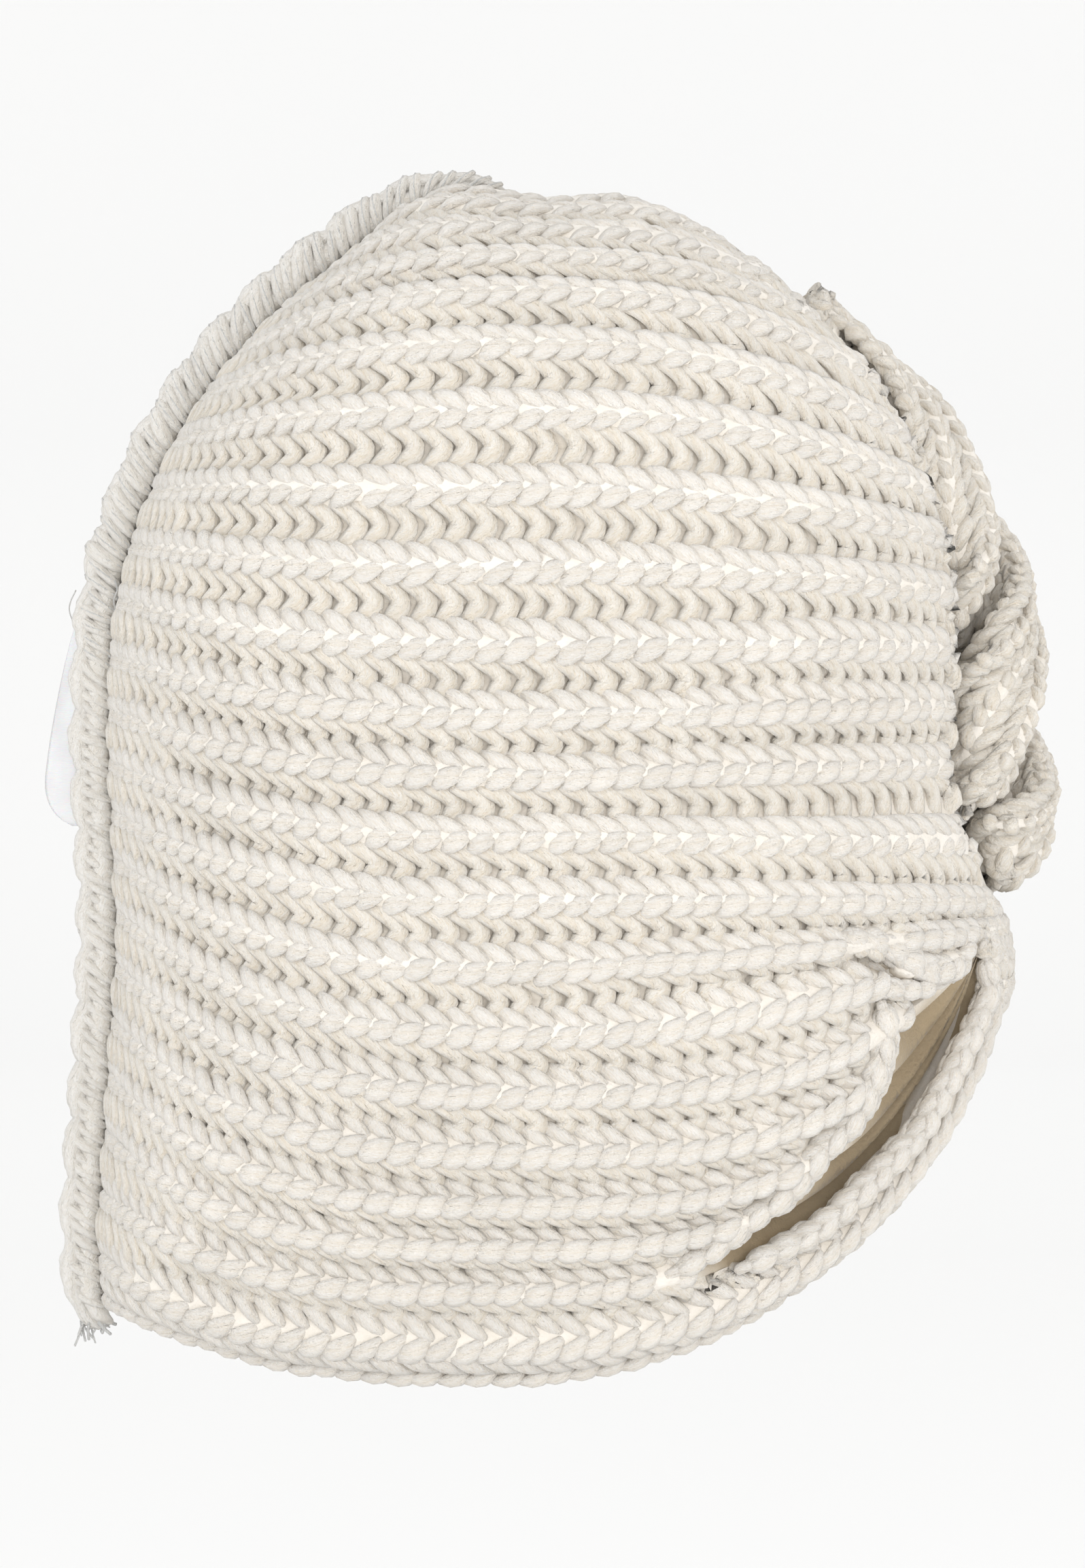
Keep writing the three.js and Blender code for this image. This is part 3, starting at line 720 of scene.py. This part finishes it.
GROUND_STEPS = 6  # rows of the ground's faces in a rib
BY_SEAM = [0, 0.0003, 0.0015, 0.004, 0.008]  # their finer places along a rib, by the seam
SIDE_PLACES, FRONT_PLACES = 76, 17  # their places along it, to the twist and from there to the middle
HOLLOW_ROUND = 0.7  # how round the ground's valleys are
INNER_RELIEF = 0.35  # the share of the ribs' height that shows on the inner face


def knit_ground():
    """Outer and inner face, right and left, joined at the rim."""
    ribs = linspace(0, RIBS, RIBS * GROUND_STEPS + 1)
    along = join([BY_SEAM, linspace(0, 1, SIDE_PLACES)[1:], linspace(1, 2, FRONT_PLACES)[1:]])
    r, s = np.meshgrid(ribs, along, indexing="ij")
    p, n = hat_surface(r, s)
    in_valley = (0.5 + 0.5 * cos(r * tau)) ** HOLLOW_ROUND
    hollow = in_valley * (1 - drawn_smooth(s) / SMOOTH_SINK)
    outer = p - n * (GROUND_DEPTH + VALLEY_DEPTH * hollow)[..., None]
    smooth = knit_point(r, s)
    x, z = smooth[..., 0], smooth[..., 2]
    inner = smooth - outward(smooth) * (WALL - INNER_RELIEF * rib_height(r, s))[..., None]
    inner[..., 1] += INSIDE_DEPTH * groove_depth(POCKET, x, z, INSIDE_SPREAD)
    for face in (outer, inner):
        face[..., 1] = minimum(face[..., 1], 0)
        face[0, :, 1] = 0
        face[:, [0, -1], 1] = 0
    rows, columns = r.shape
    size = rows * columns
    edge = (rows - 1) * columns + arange(columns - 1)
    rim = stack([edge, edge + size, edge + size + 1, edge + 1], -1)[:, ::-1]
    quads = join([grid_faces(rows, columns, True), grid_faces(rows, columns, False) + size, rim])
    corners = join([outer.reshape(-1, 3), inner.reshape(-1, 3)])
    # Painted shade kept on the ground's points: darker with the pocket's depth, and a little darker in the
    # valleys
    deep = clip(pocket_depth(x, z) / SHADE_DEPTH - SHADE_FROM, 0, 1)
    deep = maximum(deep, VALLEY_SHADE * hollow).ravel()
    both = join([corners, corners * (1, -1, 1)])
    all_quads = join([quads, quads[:, ::-1] + len(corners)])
    return weld(make_object("knit_ground", both, all_quads, NO_TRIANGLES, GROUND, deep=np.tile(deep, 4)))


def weld(obj, distance=1e-6):
    """The same piece with the points joined that lie on each other."""
    bm = bmesh.new()
    bm.from_mesh(obj.data)
    bmesh.ops.remove_doubles(bm, verts=bm.verts, dist=distance)
    bmesh.ops.recalc_face_normals(bm, faces=bm.faces)
    bm.to_mesh(obj.data)
    bm.free()
    return obj


# The edges of the pocket's opening and of the lips over it, from the top down, and half the width of the
# roll of knit along each. The first value is 1 where the roll lies to the left of the way down, or else -1.
EDGE = "x z wide"
FOLDS = {
    "behind": (-1, table(EDGE, [
        (59.6, -134, 1.2), (61.4, -138.4, 2), (60.9, -144.6, 2.4), (59.3, -149.5, 2.4),
        (55.6, -156.1, 2.4), (49.8, -162.1, 2.4), (45.2, -167.9, 2.3), (37.8, -173.3, 2.1),
        (29.9, -179.1, 1.8), (21.6, -183.1, 1.2),
    ])),
    "ahead": (1, table(EDGE, [
        (76.2, -125.8, 1), (76, -132.9, 1.8), (71.6, -142, 2.1), (67.2, -149.8, 2.2), (63.6, -156, 2.3),
        (60.5, -159.1, 2.3), (53.3, -166.1, 2.3), (47.3, -171.6, 2.2), (40.8, -175.7, 1.9), (33, -180, 1.2),
    ])),
    "upper_lip": (1, table(EDGE, [
        (50.6, -124.6, 1.4), (55.7, -126, 2.3), (59.3, -127.9, 2.6), (62.5, -130.2, 2.8),
        (65.6, -131.8, 2.9), (69.4, -131.9, 2.8), (72.4, -130.6, 2.3), (73.8, -127.2, 1.6),
    ])),
    "lower_lip": (1, table(EDGE, [
        (58.8, -132.2, 0.8), (60.8, -133.2, 1.2), (63.8, -133.8, 1.4), (66.6, -133.4, 1.3),
        (68.6, -132, 0.8),
    ])),
}
FOLD_STEPS, FOLD_SIDES = 90, 14
FOLD_PROUD = 0.9  # how far a roll stands out of the hat's plain form
FOLD_OPEN = 0.5  # how much it faces to the side
FOLD_WAVE, FOLD_PITCH = 0.06, 9  # how much its width wavers, and over how many millimetres
FOLD_TURN = 4.6  # the most that one rib takes of a thin roll, in radians
FOLD_INSET = 0.25  # how far the roll lies under its stitches
FOLD_COVERS = 0.75  # the share of its half width in which it hides the knit
FOLD_ROWS, NARROW_FOLD = (-0.42, 0, 0.42), 1.6  # its rows of stitches, and the width below which it has one
FOLD_ENDS = (0.03, 0.97)  # the stretch of it that has stitches
FOLD_YARN = 0.92  # how thick its yarn is, as a share
LIP_SUNK = 0.26  # how much deeper the stitches lie on the lips, where the yarn is felted together


def fold_line(left, rows):
    """The middle of a fold's roll, seen from the side, and half its width."""
    x, z, wide = smoothed(rows, FOLD_STEPS).values()
    along = unit(stack([np.gradient(x), np.gradient(z)], -1)) * left
    return x - along[:, 1] * wide, z + along[:, 0] * wide, wide


class Fold:
    """The outside of one fold: rib runs round its roll from the crest and along from its top down."""

    STEPS = linspace(0, 1, FOLD_STEPS)

    def __init__(self, line, side):
        x, z, wide = line
        y = side * (half_width_at(x, z) - wide + FOLD_PROUD)
        length = run_length(stack([x, z], -1))
        self.wide = wide * (1 + FOLD_WAVE * waver(length, FOLD_PITCH, side))
        self.centres = stack([x, y, z], -1)
        self.out = unit(outward(self.centres) + (0, FOLD_OPEN * side, 0))

    def __call__(self, rib, along):
        rib, along = matched(rib, along)

        def at(values):
            return stack([interp(along, self.STEPS, v) for v in values.T], -1)

        wide = interp(along, self.STEPS, self.wide)
        down = at(unit(np.gradient(self.centres, axis=0)))
        across = unit(cross(down, at(self.out)))
        out = cross(across, down)
        angle = rib * minimum(STRAND_RIB / wide, FOLD_TURN)
        n = out * cos(angle)[..., None] + across * sin(angle)[..., None]
        return at(self.centres) + n * wide[..., None], n

    def roll(self):
        wide = (self.wide - FOLD_INSET)[None]
        return sweep(self.centres[None], self.out[None], wide, wide, FOLD_SIDES)


def in_a_fold(p):
    """True for points that a roll covers."""
    covered = np.zeros(p.shape[:-1], bool)
    for fold in FOLDS.values():
        x, z, wide = fold_line(*fold)
        away = hypot(p[..., 0, None] - x, p[..., 2, None] - z)
        covered |= (away < wide * FOLD_COVERS).any(-1)
    return covered


RIDGES = np.append(arange(RIBS) + 0.5, RIBS + 0.1)
ROW_START, ROW_END, ROW_BUNCHED = 0.00001, 2, 3  # a row of stitches, read most finely by the seam
CROWN_ROW = (0.03, 1.7)  # the row along the crown line, which only the right side has
HIDDEN_FROM, HIDDEN_RIB = 1.25, 11.6  # from where along a row and down to which rib the twist hides it
TWIST_COVERS, TWIST_MARGIN = 0.45, 1  # the share of its half width in which it does, less a margin


def shown_knit(rib, along):
    """True where neither the twist nor the pocket and its folds hide the knit."""
    rib, along = matched(rib, along)
    p = smooth_surface(rib, along)
    flat = knit_point(rib, along)
    reach = interp(-p[..., 2], -TWIST["z"], TWIST["half"]) * TWIST_COVERS - TWIST_MARGIN
    under_twist = (along > HIDDEN_FROM) & (rib < HIDDEN_RIB) & (np.abs(p[..., 1]) < reach)
    in_pocket = pocket_depth(flat[..., 0], flat[..., 2]) > BARE_DEPTH
    return ~(under_twist | in_pocket | in_a_fold(flat))


def knit_side(side, sense):
    """The yarn on one side of the hat, its ridges and its valleys as two pieces."""
    ridges, valleys = [rib_lines(hat_surface, ribs, ROW_START, ROW_END, shown_knit, ROW_BUNCHED)
                       for ribs in (RIDGES, arange(1, RIBS))]
    if side == "right":
        valleys += rib_lines(hat_surface, [0], *CROWN_ROW, shown_knit)
    drawn = {"sense": sense, "sink": drawn_smooth}
    upper = ridge_legs(hat_surface, ridges, **drawn)
    lower = stitch_legs(hat_surface, valleys, VALLEY_LEG, RIDGE_ABOVE, **drawn)
    # The valleys' yarn is the darker, warmer copy of the ivory yarn: painted shade in the recesses
    return [yarn_object(f"knit_ridges_{side}", upper, IVORY, side == "left"),
            yarn_object(f"knit_valleys_{side}", lower, SHADED_IVORY, side == "left")]


def pocket_folds():
    """The folds' stitches and the rolls that carry them, right and left."""
    legs, rolls = [], []
    for name, shape in FOLDS.items():
        line = fold_line(*shape)
        for side in (-1, 1):
            fold = Fold(line, side)
            rolls.append(fold.roll())
            rows = FOLD_ROWS[1:2] if shape[1]["wide"].max() < NARROW_FOLD else FOLD_ROWS
            lines = rib_lines(fold, rows, *FOLD_ENDS, lambda rib, along: along >= 0)
            legs += ridge_legs(fold, lines, scale=FOLD_YARN, sink=LIP_SUNK if "lip" in name else 0)
    return yarn_object("pocket_folds", legs, IVORY), yarn_piece("pocket_rolls", rolls, IVORY)


ground = knit_ground()
knit = knit_side("right", 1) + knit_side("left", -1)
for piece in [ground, *knit, *pocket_folds()]:
    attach(piece, "root")
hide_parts("knit_shell")


# The twist
STRAND_YARN = 0.95  # the yarn is drawn thinner there
STRAND_ROUND, STRAND_STEPS = 80, 61
STRAND_ENDS = (0.02, 0.98)  # the stretch of it that has stitches


def strand(name, turned):
    """The core of one strand, and the yarn on it."""
    surface = Strand(turned)
    share, along = np.meshgrid(
        linspace(-1, 1, STRAND_ROUND, endpoint=False), linspace(0, 1, STRAND_STEPS))
    ribs = share * interp(along, surface.PLACES, surface.halves) / STRAND_RIB
    p, n = surface(ribs, along)
    hollow = 0.5 - 0.5 * cos(ribs * tau)
    core = p - n * (GROUND_DEPTH + VALLEY_DEPTH * hollow)[..., None]
    corners = join([core.reshape(-1, 3), [core[0].mean(0), core[-1].mean(0)]])
    body = make_object(name + "_ground", corners, *tube_faces(STRAND_STEPS, STRAND_ROUND, True), GROUND)
    ridges, valleys = [rib_lines(surface, arange(first, 4), *STRAND_ENDS, surface.shown)
                       for first in (-3, -3.5)]
    legs = ridge_legs(surface, ridges, scale=STRAND_YARN)
    legs += stitch_legs(surface, valleys, VALLEY_LEG, RIDGE_ABOVE, scale=STRAND_YARN)
    # The twist's yarn is the same darker, warmer copy: painted shade
    return body, yarn_object(name + "_yarn", legs, SHADED_IVORY)


for name, turned in (("twist_strand_right", 0), ("twist_strand_left", 180)):
    body, yarns = strand(name, turned)
    for piece in (body, yarns):
        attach(piece, "root")
    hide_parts(name)


# The back seam: a rolled fin in two bands, overlocked with slanting thread
SEAM_FROM, SEAM_TO = 95, 229.5  # its angles round the centre
SEAM_PITCH = 2.4  # from one wrap of the overlock to the next
SCALLOP, SCALLOP_MIDDLE = 10.4, 0.6  # from one scallop of the outer band to the next, and their middle
SEAM_ROUGH = 0.16  # how uneven the bands are
WRAPPED, WRAP_FADE = 118, 40  # the lengths over which the wraps stand out, and sink
WRAP_LEAST = 0.6  # how strongly they still stand out below
WRAP_SINK, WRAP_THIN = 0.9, 0.4  # how far a wrap would sink in all, and the share of its width that is left
WRAP_FLAT, WRAP_SCALLOP = 0.8, 0.16  # their height as a share of their width, and their scallops' share
FIN_GROWS, FIN_TOP = 30, 0.25  # the length over which it grows, and its size at the top as a share
FIN_CLOSES, FIN_END = 5, 0.15  # the same for its end, where it closes
FIN_ROUND = 0.7  # how roundly it grows
FIN_MIDDLE = 3.4  # how far out of the knit its middle is
BAND_STEP, BAND_SIDES = 0.7, 14
EDGE_WAVE, LINE_WAVE, WIDE_WAVE, THICK_WAVE = 4.7, 9, 3.1, 5.3  # the lengths of the bands' uneven waves
LINE_ROUGH = 0.25  # how far their line strays to the sides
# One wrap of the overlock: how far down the seam, out from the knit and to the side, and half its width
WRAP = table("down out side wide", [
    (2, 0.2, 2.1, 0.4), (1.5, 1.3, 2.5, 1), (0.5, 3.2, 2.2, 1.25), (-0.6, 5, 1.6, 1.3),
    (-1.5, 6.2, 0.7, 1.25), (-1.5, 6.2, -0.7, 1.25), (-0.6, 5, -1.6, 1.3), (0.5, 3.2, -2.2, 1.25),
    (1.5, 1.3, -2.5, 1), (2, 0.2, -2.1, 0.4),
])
KNOT = table("down wide", [(-0.45, 0.12), (-0.2, 0.36), (0.1, 0.44), (0.35, 0.32), (0.5, 0.12)])
WRAP_SAMPLES, WRAP_SIDES = 15, 8
WRAP_UNEVEN = (0.15, 0.2, 0.03, 0.1)  # how much the wraps vary in place, slant, reach and width
THREAD_HALF, THREAD_OUT = 0.17, 0.72  # half its width, and how far out of a wrap it is, as a share
KNOT_OUT, KNOT_ASIDE = 0.5, 1.15  # how far out of the knit a knot is, and how far aside, as a share
THREAD_SIDES, KNOT_SIDES = 5, 6


# The line of the seam in the middle plane, and the length down it
SEAM_X, SEAM_Z = from_polar(linspace(SEAM_FROM, SEAM_TO, 800), 1)
SEAM_DOWN = run_length(stack([SEAM_X, SEAM_Z], -1))
SEAM_LONG = SEAM_DOWN[-1]
SEAM_STEP = 1.5  # its slope is read this far ahead and behind


def seam_place(down, out, side):
    """A point so far down the seam, out from the knit and towards the wearer's right."""
    down, out, side = np.broadcast_arrays(down, out, side)

    def at(step):
        return np.array([interp(down + step, SEAM_DOWN, line) for line in (SEAM_X, SEAM_Z)])

    x, z = at(0)
    dx, dz = at(SEAM_STEP) - at(-SEAM_STEP)
    length = hypot(dx, dz)
    return stack([x + dz / length * out, -side, z - dx / length * out], -1)


def fin_size(down):
    """The share of its full size that the fin has: it grows at the top and closes at the end."""
    grown = clip(down / FIN_GROWS, 0, 1) ** FIN_ROUND
    closed = np.sqrt(clip((SEAM_LONG - down) / FIN_CLOSES, 0, 1))
    return (FIN_TOP + (1 - FIN_TOP) * grown) * (FIN_END + (1 - FIN_END) * closed)


def scallops(down):
    """The wave of the fin's outer edge, up and down from its middle."""
    return np.abs(sin(down * pi / SCALLOP)) - SCALLOP_MIDDLE


def seam_band(name, out, radius, side_radius, scallop, material):
    """One rolled band of the fin, whose outer edge is scalloped."""
    down = arange(0.2, SEAM_LONG, BAND_STEP)
    size = fin_size(down)
    wave = scallop * scallops(down) + SEAM_ROUGH * waver(down, EDGE_WAVE, out)
    centres = seam_place(down, (out + wave * 0.6) * size, LINE_ROUGH * waver(down, LINE_WAVE, out))
    wide = (radius + wave * 0.5 + SEAM_ROUGH * waver(down, WIDE_WAVE, 2 * out)) * size
    high = (side_radius + SEAM_ROUGH * waver(down, THICK_WAVE, 3 * out)) * size
    return yarn_piece(name, [sweep(centres[None], (0, -1, 0), wide, high, BAND_SIDES)], material)


def seam_wraps():
    """The slanting wraps of the overlock, the fine thread on them, and its knots along the knit."""
    place_off, slant_off, reach_off, width_off = WRAP_UNEVEN
    first = arange(3, SEAM_LONG - 4, SEAM_PITCH)[:, None]
    first = first + rng.normal(0, place_off, first.shape)
    strong = clip(WRAP_LEAST + (WRAPPED - first) / WRAP_FADE, WRAP_LEAST, 1)
    path = smoothed(WRAP, WRAP_SAMPLES)
    down = first + path["down"] * rng.normal(1, slant_off, first.shape)
    size = fin_size(first)
    sunk = (1 - strong) * WRAP_SINK
    side = np.sign(path["side"]) * maximum(np.abs(path["side"]) - sunk, 0) * size
    reach = size * (1 + WRAP_SCALLOP * scallops(down)) * rng.normal(1, reach_off, first.shape)
    centres = seam_place(down, (path["out"] - sunk) * reach, side)
    normals = unit(centres - seam_place(down, FIN_MIDDLE * size, 0))
    wide = path["wide"] * (WRAP_THIN + (1 - WRAP_THIN) * strong) * size
    wide = wide * rng.normal(1, width_off, first.shape)
    wraps = sweep(centres, normals, wide, wide * WRAP_FLAT, WRAP_SIDES)
    top = first[:, 0] < WRAPPED
    fine = centres[top] + normals[top] * (wide[top] * THREAD_OUT)[..., None]
    threads = [sweep(fine, normals[top], THREAD_HALF, THREAD_HALF, THREAD_SIDES)]
    for end, facing in ((0, -1), (-1, 1)):
        middle = down[top][:, end][:, None] + KNOT["down"]
        at = seam_place(middle, KNOT_OUT * size[top], side[top][:, end][:, None] * KNOT_ASIDE)
        threads.append(sweep(at, (0, facing, 0), KNOT["wide"], KNOT["wide"], KNOT_SIDES))
    return [yarn_piece("seam_wraps", [wraps], SEAM_YARN), yarn_piece("seam_thread", threads, THREAD)]


# Loose threads, each as its thickness and its points
LOOSE_THREADS = [
    (0.2, [(-74, -4.2, -57.6), (-73.5, -4.6, -59.6), (-74.1, -4.4, -61), (-73.7, -4, -62.6)]),
    (0.18, [(-75.6, -3.4, -60.7), (-75.2, -3.8, -62.4), (-75.8, -3.8, -64.2), (-75.5, -3.2, -66)]),
    (0.12, [(-82.6, 0.4, -62.4), (-83.6, 0, -64.6), (-83.7, 0.2, -66.4), (-82.8, 0.6, -68.6)]),
    (0.7, [(-18.7, 0, 6.2), (-18.4, -0.2, 8), (-17.3, 0, 8.7), (-16.3, 0.2, 7.9), (-16, 0, 6)]),
    (0.6, [(-14.6, 0, 5.6), (-14, 0, 7.2), (-13.2, 0.1, 5.8)]),
    (0.13, [(-6.4, 0, 5.2), (-6.1, 0, 6.4), (-6.4, 0, 7.4)]),
]
FRAYED_ENDS = 18
THREAD_FACING = (0, -1, 0.05)  # the direction that the threads' sections are laid by
THREAD_SAMPLES, LOOSE_SIDES = 12, 6


def loose_threads():
    """Thread ends along the seam, and the frayed yarn where it ends below."""
    sweeps = []
    for half, points in LOOSE_THREADS:
        path = smoothed(dict(zip("xyz", np.array(points).T)), THREAD_SAMPLES)
        sweeps.append(sweep(stack(list(path.values()), -1)[None], THREAD_FACING, half, half, LOOSE_SIDES))
    t = linspace(0, 1, 7)
    start = seam_place(SEAM_LONG - rng.uniform(0.8, 2.4, FRAYED_ENDS), rng.uniform(0.6, 5.6, FRAYED_ENDS),
                       rng.uniform(-1.8, 1.8, FRAYED_ENDS))
    lean = rng.normal(0, 0.45, (FRAYED_ENDS, 3)) + (0, 0, -1)
    curl = rng.normal(0, 0.6, (FRAYED_ENDS, 3))
    long = rng.uniform(1.6, 3.6, (FRAYED_ENDS, 1, 1))
    centres = start[:, None] + unit(lean)[:, None] * t[:, None] * long + curl[:, None] * (t**2)[:, None]
    wide = rng.uniform(0.14, 0.34, (FRAYED_ENDS, 1))
    sweeps.append(sweep(centres, THREAD_FACING, wide, wide, THREAD_SIDES))
    return yarn_piece("loose_threads", sweeps, THREAD)


# Each first colour here is also painted shade in the ply grooves, and the colour of the darkest fibres
SEAM_YARN = yarn_material("seam_yarn", (0.8, 0.735, 0.64), (0.92, 0.885, 0.825), (0.955, 0.94, 0.905))
BAND_YARN = yarn_material(
    "band_yarn", (0.79, 0.74, 0.66), (0.89, 0.86, 0.81), (0.935, 0.92, 0.89), plies=5, twist=0.3)
THREAD = yarn_material("white_thread", (0.84, 0.83, 0.79), (0.93, 0.93, 0.91), (0.97, 0.97, 0.96), twist=5)

inner_band = seam_band("seam_inner_band", 2.3, 2.3, 2.5, 0, SEAM_YARN)
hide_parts("back_seam")
outer_band = seam_band("seam_outer_band", 5.4, 1.7, 1.8, 1.3, BAND_YARN)
for piece in [inner_band, outer_band, *seam_wraps(), loose_threads()]:
    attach(piece, "root")


# The blank satin label behind the seam
LABEL_TOP, LABEL_WIDEST, LABEL_BOTTOM = -67, -95, -104  # heights
LABEL_LENGTH = 10  # how far it stands out where it is widest
LABEL_TUCKED = 3  # how much of it is under the seam
LABEL_THICK = 0.3
LABEL_LEAN = (84, 44)  # its angle to the middle plane in degrees, at the top and at the bottom
LABEL_ROOT, LABEL_ASIDE = 6.2, 2.8  # how far out of the knit and beside the middle plane its root lies
LABEL_BOW = 0.7  # how much it curves across
LABEL_RIPPLE, LABEL_RIPPLES = 0.25, 9  # how much and how often it ripples down its edge
LABEL_END = 0.2  # the least share of its length, at its rounded end
LABEL_ROWS, LABEL_COLUMNS = 40, 14


def satin_material():
    """White woven tape with a soft shine."""
    material, tree, bsdf = shader("label_satin", {
        "Roughness": 0.38, "Sheen Weight": 0.3, "Sheen Roughness": 0.3,
        "Specular IOR Level": 0.5, "Anisotropic": 0.4, "Subsurface Weight": 0.3, "Subsurface Scale": 0.001,
    })
    place = node(tree, "TexCoord").outputs["Object"]
    weft = node(tree, "TexWave", {"Vector": place, "Scale": 900, "Distortion": 0.6}, bands_direction="Z")
    cloud = noise(tree, 120, 3, Vector=place)
    white = ramp(tree, cloud, (0.3, (0.72, 0.73, 0.745)), (0.7, (0.82, 0.83, 0.84)))
    tree.links.new(white, bsdf.inputs["Base Color"])
    bumps(tree, bsdf, (weft.outputs["Fac"], 0.00005, 0.5))
    return material


def label():
    """A thin closed sheet, tucked in beside the fin."""
    t = linspace(0, 1, LABEL_ROWS)[:, None]
    across = linspace(0, 1, LABEL_COLUMNS)[None]
    z = LABEL_TOP + (LABEL_BOTTOM - LABEL_TOP) * t
    angle, _ = polar(CENTRE[0] - reach_at(180), z)
    edge = CENTRE[0] - np.abs(reach_at(angle) * cos(radians(angle))) - LABEL_ROOT
    lean = radians(LABEL_LEAN[0] + (LABEL_LEAN[1] - LABEL_LEAN[0]) * t)
    past = maximum((LABEL_WIDEST - z) / (LABEL_WIDEST - LABEL_BOTTOM), 0)
    length = LABEL_LENGTH * maximum(np.sqrt(maximum(1 - past * past, 0)), LABEL_END)
    reach = across * (length + LABEL_TUCKED) - LABEL_TUCKED
    bow = LABEL_BOW * sin(pi * across) * t
    ripple = LABEL_RIPPLE * sin(t * LABEL_RIPPLES) * across
    out = maximum(reach, 0)
    x = edge - out * cos(lean) - minimum(reach, 0) - bow * sin(lean)
    y = LABEL_ASIDE + out * sin(lean) - bow * cos(lean) + ripple
    sheet = stack([x, y, z + 0 * x], -1)
    off = unit(cross(np.gradient(sheet, axis=0), np.gradient(sheet, axis=1))) * LABEL_THICK
    rows, columns = LABEL_ROWS, LABEL_COLUMNS
    size = rows * columns
    front, back = grid_faces(rows, columns, False), grid_faces(rows, columns, True) + size
    around = join([
        arange(columns - 1), arange(rows - 1) * columns + columns - 1,
        size - 1 - arange(columns - 1), arange(rows - 1, 0, -1) * columns,
    ])
    after = np.roll(around, -1)
    rim = stack([around, around + size, after + size, after], -1)
    corners = join([sheet.reshape(-1, 3), (sheet + off).reshape(-1, 3)])
    quads = join([front, back, rim])
    return weld(make_object("label_tape", corners, quads, NO_TRIANGLES, satin_material()))


tape = label()
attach(tape, "root")
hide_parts("label")


# Floor, light and camera
FLOOR = -262  # its height
FLOOR_WIDE = 4000  # half its width
FLOOR_PROFILE = table("y z", [
    (-6000, 0), (-2000, 0), (3000, 0), (3400, 60), (3700, 300), (3850, 700), (3900, 3500),
])


def stage():
    """A pale floor that curves up behind the hat."""
    profile = list(zip(*FLOOR_PROFILE.values()))
    corners = [(x, y, z + FLOOR) for y, z in profile for x in (-FLOOR_WIDE, FLOOR_WIDE)]
    quads = [(2 * i, 2 * i + 1, 2 * i + 3, 2 * i + 2) for i in range(len(profile) - 1)]
    material, tree, bsdf = shader("floor_paper", {"Roughness": 0.9, "Base Color": (0.96, 0.96, 0.955, 1)})
    bumps(tree, bsdf, (noise(tree, 60, 2), 0.0002, 0.2))
    make_object("floor", corners, quads, NO_TRIANGLES, material)


stage()

world = bpy.data.worlds.new("studio")
bpy.context.scene.world = world
world.use_nodes = True
background = world.node_tree.nodes["Background"]
background.inputs["Color"].default_value = (1, 1, 1, 1)
background.inputs["Strength"].default_value = 0.99


def area_light(name, place, aim, size, power, colour):
    data = bpy.data.lights.new(name, "AREA")
    data.shape = "RECTANGLE"
    data.size, data.size_y = size
    data.energy = power
    data.color = colour
    obj = bpy.data.objects.new(name, data)
    bpy.context.collection.objects.link(obj)
    obj.location = place
    direction = np.array(aim, float) - np.array(place, float)
    obj.rotation_euler = Vector(direction).to_track_quat("-Z", "Y").to_euler()
    return obj


area_light("key", (0.3, -1.15, -0.2), (0, 0, -0.12), (0.7, 0.7), 5.9, (1, 0.975, 0.95))
area_light("fill", (-0.9, -1, 0.1), (0, 0, -0.1), (0.9, 0.9), 2.5, (0.96, 0.98, 1))

LENS, SENSOR = 400, 36
PHOTO_WIDTH, PHOTO_HEIGHT = 1596, 2306
PIXEL = 0.12  # millimetres of the hat for one pixel of the photograph
AXIS_PIXEL, TOP_PIXEL = 800, 348  # the pixel that shows the frame's origin
camera_data = bpy.data.cameras.new("camera")
camera_data.lens = LENS
camera_data.sensor_width = SENSOR
camera = bpy.data.objects.new("camera", camera_data)
bpy.context.collection.objects.link(camera)
distance = PHOTO_HEIGHT * PIXEL * LENS / SENSOR
right, up = (PHOTO_WIDTH / 2 - AXIS_PIXEL) * PIXEL, (TOP_PIXEL - PHOTO_HEIGHT / 2) * PIXEL
camera.location = (right * MM, -distance * MM, up * MM)
camera.rotation_euler = (pi / 2, 0, 0)
camera_data.clip_end = 20
bpy.context.scene.camera = camera
bpy.context.scene.view_settings.view_transform = "Standard"
